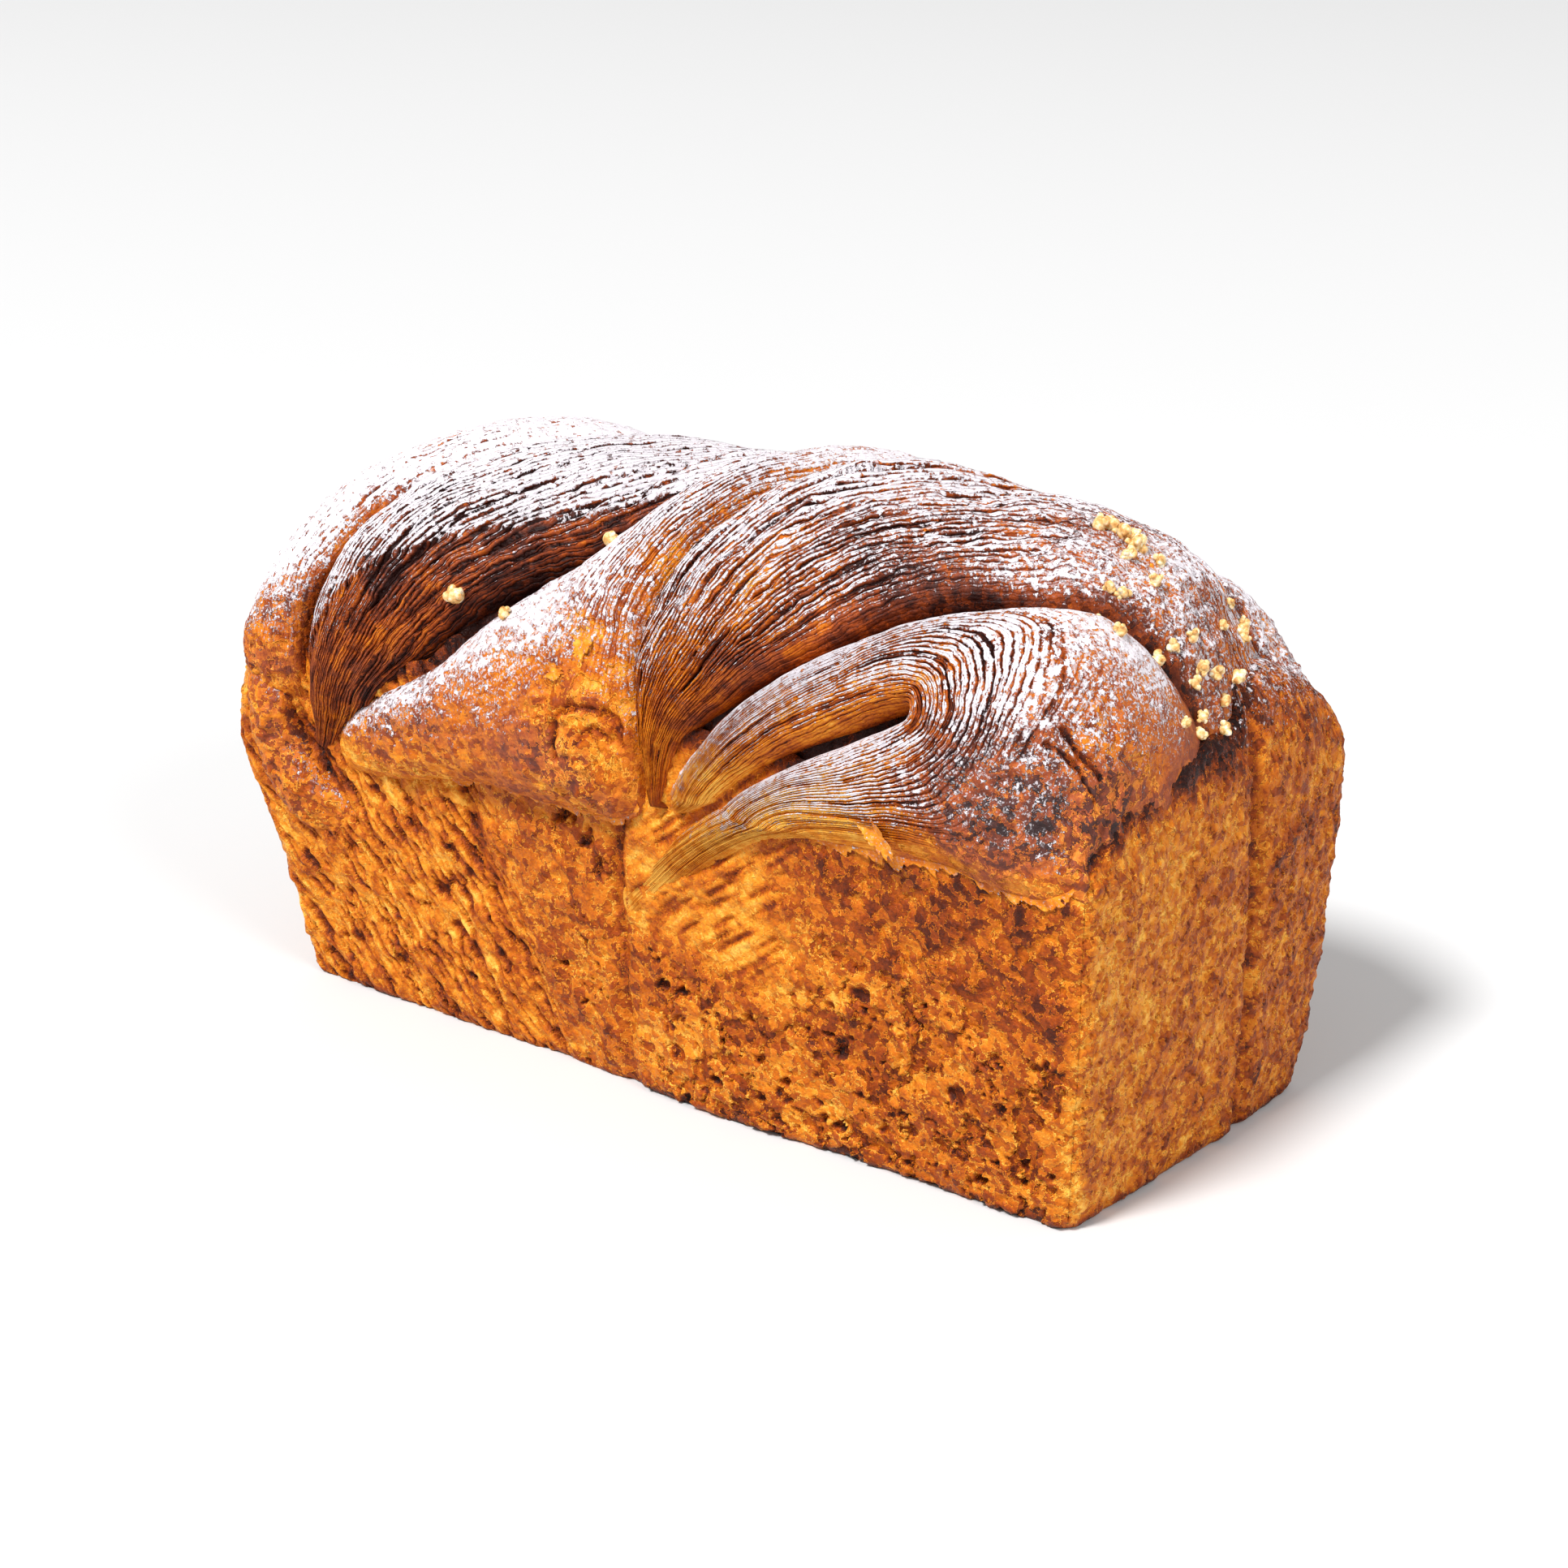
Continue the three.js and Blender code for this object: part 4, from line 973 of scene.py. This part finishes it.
def makeLobe(name, form):
    lobe = {**plainLobe, **form}
    along, across = lobe["size"]
    seed = lobe["seed"]
    u, v = np.linspace(0, 1, along), np.linspace(0, 1, across)[None, :]
    x, turn, bulge, normal, smooth = lobeForm(lobe, u, v)
    uu = np.broadcast_to(u[:, None], x.shape)
    run = uu * (np.linalg.norm(np.diff(smooth, axis=0), axis=2).mean() * (along - 1))
    layer, own, ridge, groove, bundleOwn, slot = lobeLayers(lobe, smooth, run, v)

    def patches(kind):
        return patchSum(lobe, x, turn, kind)

    def swing(kind):
        # noise about zero
        size, detail, offset = lobeNoise[kind]
        return layeredNoise(smooth, size, detail, seed + offset) - 0.5

    # relief: ridges and bundles, which fade to the ends and sides, then lumps, blisters and bubbles
    r = lobeRelief
    strength = np.clip(1 + patches("ridges"), 0, 6) * stationsAt(lobe["ridgesAcross"], v) * bulge
    strength = strength * np.sin(np.pi * np.clip(uu, 0.001, 0.999)) ** 0.3
    shown = np.minimum(strength * lobe["ridgeLift"] * 1.7, 1)
    rough = np.clip(patches("blisters"), 0, 1)
    lumps, blister, pimple = swing("lumps"), swing("blister"), swing("pimple")
    bubble = 1 - 5 * np.abs(swing("bubble"))
    ridges = (own - 0.5) + r["ridge"] * ridge - r["groove"] * groove
    bundles = r["bundle"] * (bundleOwn - 0.5) - r["slot"] * slot
    relief = lobe["ridgeLift"] * strength * ridges + lobe["bundleLift"] * strength * bundles
    relief = relief + r["lumps"] * lumps + r["blister"] * blister
    roughness = r["roughBlister"] * blister + r["roughBubble"] * bubble + r["roughPimple"] * pimple
    relief = relief + rough * roughness
    # painted shade down in grooves and slots, and down the sides into the grooves
    shadedHollow = np.clip((lobeHollow["groove"] * groove + lobeHollow["slot"] * slot) * shown, 0, 1)
    shadedHollow = np.maximum(shadedHollow, np.where(v < 0.5, *lobe["shadedSides"]) * smoothStep(0.85, 0.35, bulge))
    dusted = 1.0
    if lobe["dustFrom"]:
        # a lip: the face below it is bare and set back
        lip = stationsAt(lobe["dustFrom"], uu) + 0.05 * swing("lip")
        below = smoothStep(0.012, -0.012, v - lip)
        dusted = 1 - lobeDust["underLip"] * below
        relief = relief - r["lipStep"] * below * smoothStep(0.0, 0.15, v)
    tearing = patches("torn")
    torn = np.where(tearing > 0.08, tearing - 0.35 - 1.6 * swing("tears"), -1.0)
    relief = relief - r["tornStep"] * smoothStep(0.0, 0.15, torn)
    skin = skinPoint(x, turn)
    for slit in lobe["slits"]:
        away = (distanceTo(slit["line"], skin) + 1.6 * blister) / slit["width"]
        relief = relief - slit["depth"] * np.exp(-away ** 2)
        relief = relief + r["slitRim"] * slit["depth"] * np.exp(-(away - 2.4) ** 2)
        shadedHollow = np.maximum(shadedHollow, lobeHollow["slit"] * np.exp(-away ** 2))
    p = smooth + normal * relief[..., None]

    # browning, and painted light: darker down the sides and in hollows as painted shade, paler on high ridges
    # as a painted highlight
    t = lobeToastAndShade
    toastAndShade = lobe["toastAndShade"] + t["lumps"] * lumps + t["blister"] * blister
    toastAndShade = toastAndShade + t["sides"] * smoothStep(0.55, 0.0, bulge)
    blistered = t["roughBlister"] * blister + t["roughBubble"] * smoothStep(0.5, 0.9, bubble) - t["rough"]
    toastAndShade = toastAndShade - rough * blistered
    toastAndShade = toastAndShade + (t["ownRidge"] * (0.5 - own) - t["ridge"] * (ridge - 0.4)) * shown + patches("toastAndShade")
    # icing sugar: on what faces up, most on the ridges
    d = lobeDust
    faces = gridNormals(smooth)
    upward = 0.55 * faces[..., 2] + 0.45 * gridNormals(p)[..., 2]
    cover = smoothStep(-lobe["clings"], 0.8, upward) * smoothStep(0.05, 0.5, bulge)
    dust = (lobe["dust"] + d["spread"] * swing("sugar") + patches("dust")) * cover * dusted
    onRidges = (d["ridge"] * ridge - d["groove"] * (1 - ridge)) * shown * smoothStep(0.0, 0.2, dust)
    dust = np.clip(dust + onRidges - d["shadedHollow"] * shadedHollow, 0, d["most"])
    values = {"toastAndShade": toastAndShade, "shadedHollow": shadedHollow, "dust": dust, "layer": layer,
              "lines": np.clip(strength * lobe["ridgeLift"] * 1.5, 0, 1), "torn": torn,
              "inner": np.full_like(x, -0.15), "flaky": 0.15 + 0.85 * rough}
    attributes = {label: np.append(value, 0.0) for label, value in values.items()}
    flat = p.reshape(-1, 3)
    root = flat.mean(axis=0) * [0.9, 0.3, 0.0] + [0, 0, loafSizes["rimHeight"] * 0.75]
    sides = [gridFaces(along, across), closedOver(along, across, len(flat))]
    piece = meshPiece(name, np.concatenate([flat, [root]]), sides, attributes, layeredCrust)
    return piece, p, faces


madeLobes = {name: makeLobe(name, lobe) for name, lobe in lobes.items()}
lobePieces = [piece for piece, grid, normals in madeLobes.values()]
print("lobes made")


lipShape = {"across": 9, "thickness": 0.45, "jag": 1.0, "toastAndShade": 0.36, "dust": 0.12, "rowsIn": 5}
flakeShape = {"points": 41, "thickness": 0.4, "raggedness": 1.3, "dust": 0.12}
flakes = [
    # place on the skin, length and width, way it lies in degrees, height of its raised rim, toast
    {"at": (65.5, 3.5), "size": (6.8, 3.0), "way": -42, "curl": 1.7, "toastAndShade": 0.16, "seed": 1},
    {"at": (-7.5, 25), "size": (3.0, 2.2), "way": 60, "curl": 0.9, "toastAndShade": 0.14, "seed": 2},
    {"at": (-13, 19), "size": (2.6, 1.6), "way": 20, "curl": 0.7, "toastAndShade": 0.2, "seed": 3},
    {"at": (56, 51), "size": (3.6, 1.4), "way": 10, "curl": 1.6, "toastAndShade": 0.4, "seed": 4},
]


def thickSheet(name, top, normals, thickness, values):
    # a thin sheet from the grid of its upper side, closed all round
    rows, columns = top.shape[:2]
    under = top - normals * np.asarray(thickness)[..., None]
    border = borderOf(rows, columns)
    after = np.roll(border, -1)
    side = np.stack([border, after, after + rows * columns, border + rows * columns], -1)
    upper = gridFaces(rows, columns)
    points = np.concatenate([top.reshape(-1, 3), under.reshape(-1, 3)])
    attributes = {label: np.tile(np.broadcast_to(value, (rows, columns)).ravel(), 2)
                  for label, value in values.items()}
    return meshPiece(name, points, [upper, upper[:, ::-1] + rows * columns, side], attributes, layeredCrust)


def makeLip(name, lip):
    # where the skin of a lobe tore off along its edge a ragged, thin lip stands over the wall
    piece, grid, normals = madeLobes[name]
    rows, columns = grid.shape[:2]
    first, last = [int(u * (rows - 1)) for u in lip["along"]]
    row = lip["row"] if lip["edge"] == "low" else columns - 1 - lip["row"]
    inner = row + lipShape["rowsIn"] * (1 if lip["edge"] == "low" else -1)
    fine = np.linspace(first, last, (last - first) * 3)

    def alongLip(values):
        return np.stack([np.interp(fine, np.arange(rows), values[:, n]) for n in range(3)], -1)

    start, before, out = alongLip(grid[:, row]), alongLip(grid[:, inner]), unit(alongLip(normals[:, row]))
    ahead = unit(unit(start - before) + np.array([0, 0, -0.6]))
    ragged = layeredNoise(start, 5.0, 2, 81) + lipShape["jag"] * (layeredNoise(start, 1.5, 2, 82) - 0.5)
    fade = np.sin(np.pi * np.linspace(0, 1, len(fine))) ** 0.3
    reach = lip["reach"] * np.clip(1.5 * ragged - 0.25, 0.02, 1.6) * fade
    t = np.linspace(0, 1, lipShape["across"])
    curl = lip["curl"] * (layeredNoise(start, 7.0, 2, 83) + 0.2)
    lift = 0.15 + curl[:, None] * t ** 1.5 * np.minimum(reach, 2.0)[:, None] * 0.6
    top = start[:, None] + ahead[:, None] * (reach[:, None] * t)[..., None] + out[:, None] * lift[..., None]
    thick = lipShape["thickness"] * (1 - 0.75 * t) * np.ones((len(fine), 1))
    face = np.broadcast_to(out[:, None], top.shape)
    if lip["edge"] == "low":
        top, thick = top[::-1], thick[::-1]
        face = face[::-1]
    grain = layeredNoise(top, 2.0, 2, 84) - 0.5
    values = {"toastAndShade": lipShape["toastAndShade"] + 0.4 * grain - 0.1 * t, "dust": lipShape["dust"], "torn": -1.0}
    return thickSheet(name + "_torn_lip", top, face, thick, values)


def surfaceUnder(x, turn):
    # the dough's surface along the skin's normal at a place, over all lobes
    start = skinPoint(np.array([x], float), np.array([turn], float))[0]
    normal = skinNormal(np.array([x], float), np.array([turn], float))[0]
    best = None
    for piece, grid, normals in madeLobes.values():
        away = grid.reshape(-1, 3) - start
        lift = away @ normal
        aside = np.linalg.norm(away - lift[:, None] * normal, axis=1)
        near = aside < 0.7
        if near.any() and (best is None or lift[near].max() > best):
            best = lift[near].max()
    return start + normal * (best or 0.0), normal


def makeFlake(number, flake):
    point, normal = surfaceUnder(*flake["at"])
    side = unit(np.cross(np.array([0, 0, 1.0]), normal))
    up = np.cross(normal, side)
    way = math.radians(flake["way"])
    ahead, across = side * math.cos(way) + up * math.sin(way), up * math.cos(way) - side * math.sin(way)
    length, width = flake["size"]
    grid = np.linspace(-1, 1, flakeShape["points"])
    s, t = np.meshgrid(grid, grid, indexing="ij")
    # the square grid pressed to a ragged oval
    fit = np.maximum(np.abs(s), np.abs(t)) / np.maximum(np.hypot(s, t), 1e-6)
    angle = np.arctan2(t, s)
    around = np.stack([np.cos(angle) * 3.0, np.sin(angle) * 3.0, np.full_like(s, flake["seed"] * 3.7)], -1)
    reach = fit * (0.9 + flakeShape["raggedness"] * (layeredNoise(around, 1.0, 3, 91) - 0.5))
    s, t = s * reach, t * reach
    lift = 0.2 + flake["curl"] * (0.75 * (t + 0.3) ** 2 + 0.35 * np.maximum(s, 0) ** 2)
    lift = lift + 0.5 * (layeredNoise(np.stack([s * 2, t * 2, 0 * s + flake["seed"]], -1), 1.0, 2, 92) - 0.5)
    top = point + ahead * (length * s)[..., None] + across * (width * t)[..., None] + normal * lift[..., None]
    radius = np.hypot(s, t)
    values = {"toastAndShade": flake["toastAndShade"] + 0.12 * (1 - radius) + 0.3 * (layeredNoise(top, 1.5, 2, 93) - 0.5),
              "dust": flakeShape["dust"], "torn": -1.0}
    thickness = flakeShape["thickness"] * (1.1 - radius ** 2)
    return thickSheet("flake_%d" % number, top, np.broadcast_to(normal, top.shape), thickness, values)


loosePieces = [makeLip(name, lobe["lip"]) for name, lobe in lobes.items() if lobe.get("lip")]
loosePieces += [makeFlake(number, flake) for number, flake in enumerate(flakes, 1)]
print("lips and flakes made")


crumbShape = {
    # middle (x, turn), spread (x, turn), how many, mean radius
    "patches": [((-48.5, 30), (0, 0), 1, 2.3), ((-15.5, 52), (0, 0), 1, 1.8), ((-31.5, 30), (7, 2), 2, 1.3),
                ((80.5, 91), (4, 3), 5, 1.9), ((91.5, 79), (9, 13), 10, 1.5), ((105, 86), (3, 9), 8, 1.5),
                ((99, 110), (7, 13), 7, 1.4), ((20, 135), (60, 22), 8, 1.4)],
    "seed": 71, "subdivisions": 3,
    "sunk": 0.35,  # how far its middle stands over the dough, in radii
    "heart": 0.8, "grainsEach": 6, "grainAway": 0.75, "grainRadius": (0.3, 0.25),  # in radii of the crumb
    "lumpiness": 0.55, "lumpSize": 0.9, "spotSize": 1.2,  # in millimetres
    "ramp": [(0.3, "#b0783a"), (0.45, "#dcab63"), (0.58, "#efd3a0"), (0.7, "#fdf1dc")],
}


def randomSequence(seed):
    # the same small random sequence on every run
    state = seed
    while True:
        state = (state * 16807) % 2147483647
        yield state / 2147483647


def sugarMaterial():
    # pearl sugar baked on: pale amber lumps that the light enters a little, whiter in spots
    material, tree = newMaterial("pearl_sugar_crumbs")
    place = addNode(tree, "ShaderNodeTexCoord").outputs["Object"]
    grain = addNode(tree, "ShaderNodeTexNoise", {"Scale": perMetre(crumbShape["spotSize"]), "Detail": 3.0},
                    {"Vector": place})
    ramp = addNode(tree, "ShaderNodeValToRGB", {}, {"Fac": grain.outputs["Fac"]}, crumbShape["ramp"])
    shader = addNode(tree, "ShaderNodeBsdfPrincipled",
                     {"Roughness": 0.5, "IOR": 1.5, "Subsurface Weight": 0.25, "Subsurface Scale": 0.001},
                     {"Base Color": ramp.outputs["Color"]})
    addNode(tree, "ShaderNodeOutputMaterial", {}, {"Surface": shader.outputs["BSDF"]})
    return material


def crumbTree(material):
    # each point carries its crumb's radius: a lumpy ball is set on every point
    tree = bpy.data.node_groups.new("sugar_crumbs", "GeometryNodeTree")
    tree.interface.new_socket("Geometry", in_out="INPUT", socket_type="NodeSocketGeometry")
    for label in ("Lumps per metre", "Lumpiness"):
        tree.interface.new_socket(label, in_out="INPUT", socket_type="NodeSocketFloat")
    tree.interface.new_socket("Seed", in_out="INPUT", socket_type="NodeSocketInt")
    tree.interface.new_socket("Geometry", in_out="OUTPUT", socket_type="NodeSocketGeometry")
    given = addNode(tree, "NodeGroupInput").outputs
    radius = addNode(tree, "GeometryNodeInputNamedAttribute", {"data_type": "FLOAT", "Name": "radius"})
    ball = addNode(tree, "GeometryNodeMeshIcoSphere",
                   {"Radius": 1.0, "Subdivisions": crumbShape["subdivisions"]})
    turn = addNode(tree, "FunctionNodeRandomValue",
                   {"data_type": "FLOAT_VECTOR", "Max": (6.28, 6.28, 6.28)}, {"Seed": given["Seed"]})
    stretch = addNode(tree, "FunctionNodeRandomValue",
                      {"data_type": "FLOAT_VECTOR", "Min": (0.9, 0.75, 0.75), "Max": (1.2, 1.0, 1.0)},
                      {"Seed": given["Seed"]})
    scale = addNode(tree, "ShaderNodeVectorMath", {"operation": "SCALE"},
                    {0: stretch.outputs["Value"], "Scale": radius.outputs["Attribute"]})
    spread = addNode(tree, "GeometryNodeInstanceOnPoints", {},
                     {"Points": given["Geometry"], "Instance": ball.outputs["Mesh"],
                      "Rotation": turn.outputs["Value"], "Scale": scale.outputs["Vector"]})
    real = addNode(tree, "GeometryNodeRealizeInstances", {}, {"Geometry": spread.outputs["Instances"]})
    lumps = addNode(tree, "ShaderNodeTexNoise", {"Detail": 2.0, "Roughness": 0.6},
                    {"Scale": given["Lumps per metre"]})
    centred = addNode(tree, "ShaderNodeMath", {"operation": "SUBTRACT", 1: 0.5}, {0: lumps.outputs["Fac"]})
    height = addNode(tree, "ShaderNodeMath", {"operation": "MULTIPLY"},
                     {0: centred.outputs[0], 1: given["Lumpiness"]})
    normal = addNode(tree, "GeometryNodeInputNormal")
    push = addNode(tree, "ShaderNodeVectorMath", {"operation": "SCALE"},
                   {0: normal.outputs["Normal"], "Scale": height.outputs[0]})
    rough = addNode(tree, "GeometryNodeSetPosition", {},
                    {"Geometry": real.outputs["Geometry"], "Offset": push.outputs["Vector"]})
    finish = addNode(tree, "GeometryNodeSetMaterial", {"Material": material},
                     {"Geometry": rough.outputs["Geometry"]})
    addNode(tree, "NodeGroupOutput", {}, {"Geometry": finish.outputs["Geometry"]})
    return tree


def crumbPoints():
    # middles and radii of the crumbs, each with smaller grains baked on to it
    c = crumbShape
    draw, grainDraw = randomSequence(c["seed"]), randomSequence(c["seed"] + 1)
    points, radii = [], []
    for at, spread, count, mean in c["patches"]:
        for number in range(count):
            x = at[0] + spread[0] * (2 * next(draw) - 1)
            turn = at[1] + spread[1] * (2 * next(draw) - 1)
            radius = mean * (0.8 + 0.4 * next(draw))
            point, normal = surfaceUnder(x, turn)
            centre = point + normal * radius * c["sunk"]
            points.append(centre)
            radii.append(radius * c["heart"])
            for grain in range(c["grainsEach"]):
                way = unit(np.array([next(grainDraw) - 0.5 for n in range(3)]))
                points.append(centre + way * radius * c["grainAway"])
                radii.append(radius * (c["grainRadius"][0] + c["grainRadius"][1] * next(grainDraw)))
    return np.array(points), np.array(radii, np.float32)


def makeCrumbs():
    c = crumbShape
    points, radii = crumbPoints()
    mesh = bpy.data.meshes.new("sugar_crumbs")
    mesh.from_pydata([tuple(p) for p in inFrame(points)], [], [])
    mesh.attributes.new("radius", "FLOAT", "POINT").data.foreach_set("value", radii * 0.001)
    crumbs = placed("sugar_crumbs", mesh)
    tree = crumbTree(sugarMaterial())
    modifier = crumbs.modifiers.new("crumbs", "NODES")
    modifier.node_group = tree
    sockets = {item.name: item.identifier for item in tree.interface.items_tree if item.in_out == "INPUT"}
    modifier[sockets["Lumps per metre"]] = perMetre(c["lumpSize"])
    modifier[sockets["Lumpiness"]] = c["lumpiness"] * 0.001
    modifier[sockets["Seed"]] = c["seed"]
    ready = crumbs.evaluated_get(bpy.context.evaluated_depsgraph_get())
    plain = bpy.data.meshes.new_from_object(ready)
    crumbs.modifiers.clear()
    crumbs.data = plain
    plain.polygons.foreach_set("use_smooth", np.ones(len(plain.polygons), bool))
    return crumbs


crumbs = makeCrumbs()
print("sugar crumbs made")

for piece in [*walls, *lobePieces, *loosePieces, crumbs]:
    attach(piece, "root")
    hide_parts("loaf")


stageLook = {
    "floorSize": 8.0,
    "floor": "#d6d6d6",
    "world": 0.5,  # even white light from all round
    # a large soft light from high in front, far off, and a weak one at the right end
    "key": {"size": 2.2, "power": 1242.0, "azimuth": -5.0, "elevation": 54.0, "distance": 10.0},
    "side": {"size": 0.8, "power": 18.0, "azimuth": 70.0, "elevation": 35.0, "distance": 2.4},
}
cameraView = {
    "azimuth": 37.5, "elevation": 20.6, "roll": -0.2,
    "distance": 723.2, "aimRight": -0.56, "aimUp": 53.04,  # millimetres
    "focal": 4000.0, "frameWidth": 1932.0,  # both in pixels of the photo
    "middle": (6.792, 0.072, 1.5),  # what the camera turns about
}


def turned(azimuth, elevation):
    a, e = math.radians(azimuth), math.radians(elevation)
    return np.array([math.sin(a) * math.cos(e), -math.cos(a) * math.cos(e), math.sin(e)])


def makeFloor():
    half = stageLook["floorSize"] / 2
    mesh = bpy.data.meshes.new("floor")
    corners = [(-half, -half, 0), (half, -half, 0), (half, half, 0), (-half, half, 0)]
    mesh.from_pydata(corners, [], [(0, 1, 2, 3)])
    material = bpy.data.materials.new("white_paper_sweep")  # pale and matt
    material.use_nodes = True
    shader = material.node_tree.nodes["Principled BSDF"]
    shader.inputs["Base Color"].default_value = colour(stageLook["floor"])
    shader.inputs["Roughness"].default_value = 0.6
    shader.inputs["Specular IOR Level"].default_value = 0.1
    mesh.materials.append(material)
    placed("floor", mesh)


def makeLight(name):
    light = stageLook[name]
    data = bpy.data.lights.new(name, "AREA")
    data.shape = "DISK"
    data.size = light["size"]
    data.energy = light["power"]
    lamp = placed(name, data)
    direction = turned(light["azimuth"], light["elevation"])
    lamp.location = direction * light["distance"] + np.array([0, 0, 0.06])
    lamp.rotation_euler = Vector(-direction).to_track_quat("-Z", "Y").to_euler()


def makeCamera():
    view = cameraView
    back = turned(view["azimuth"], view["elevation"])
    a = math.radians(view["azimuth"])
    right = np.array([math.cos(a), math.sin(a), 0.0])
    up = np.cross(back, right)
    place = back * view["distance"] + right * view["aimRight"] + up * view["aimUp"] + np.array(view["middle"])
    roll = math.radians(view["roll"])
    rightTurned = right * math.cos(roll) - up * math.sin(roll)
    upTurned = right * math.sin(roll) + up * math.cos(roll)
    camera = placed("camera", bpy.data.cameras.new("camera"))
    camera.data.sensor_width = 36.0
    camera.data.lens = view["focal"] / view["frameWidth"] * 36.0
    camera.data.clip_start = 0.01
    matrix = Matrix.Identity(4)
    for row in range(3):
        matrix[row][0] = rightTurned[row]
        matrix[row][1] = upTurned[row]
        matrix[row][2] = back[row]
        matrix[row][3] = place[row] * 0.001
    camera.matrix_world = matrix
    bpy.context.scene.camera = camera


def makeStage():
    makeFloor()
    makeLight("key")
    makeLight("side")
    world = bpy.data.worlds.new("studio")
    world.use_nodes = True
    tree = world.node_tree
    tree.nodes.clear()
    soft = addNode(tree, "ShaderNodeBackground", {"Color": (1, 1, 1, 1), "Strength": stageLook["world"]})
    addNode(tree, "ShaderNodeOutputWorld", {}, {"Surface": soft.outputs[0]})
    bpy.context.scene.world = world
    bpy.context.scene.view_settings.view_transform = "Standard"


makeStage()
makeCamera()
print("stage made")
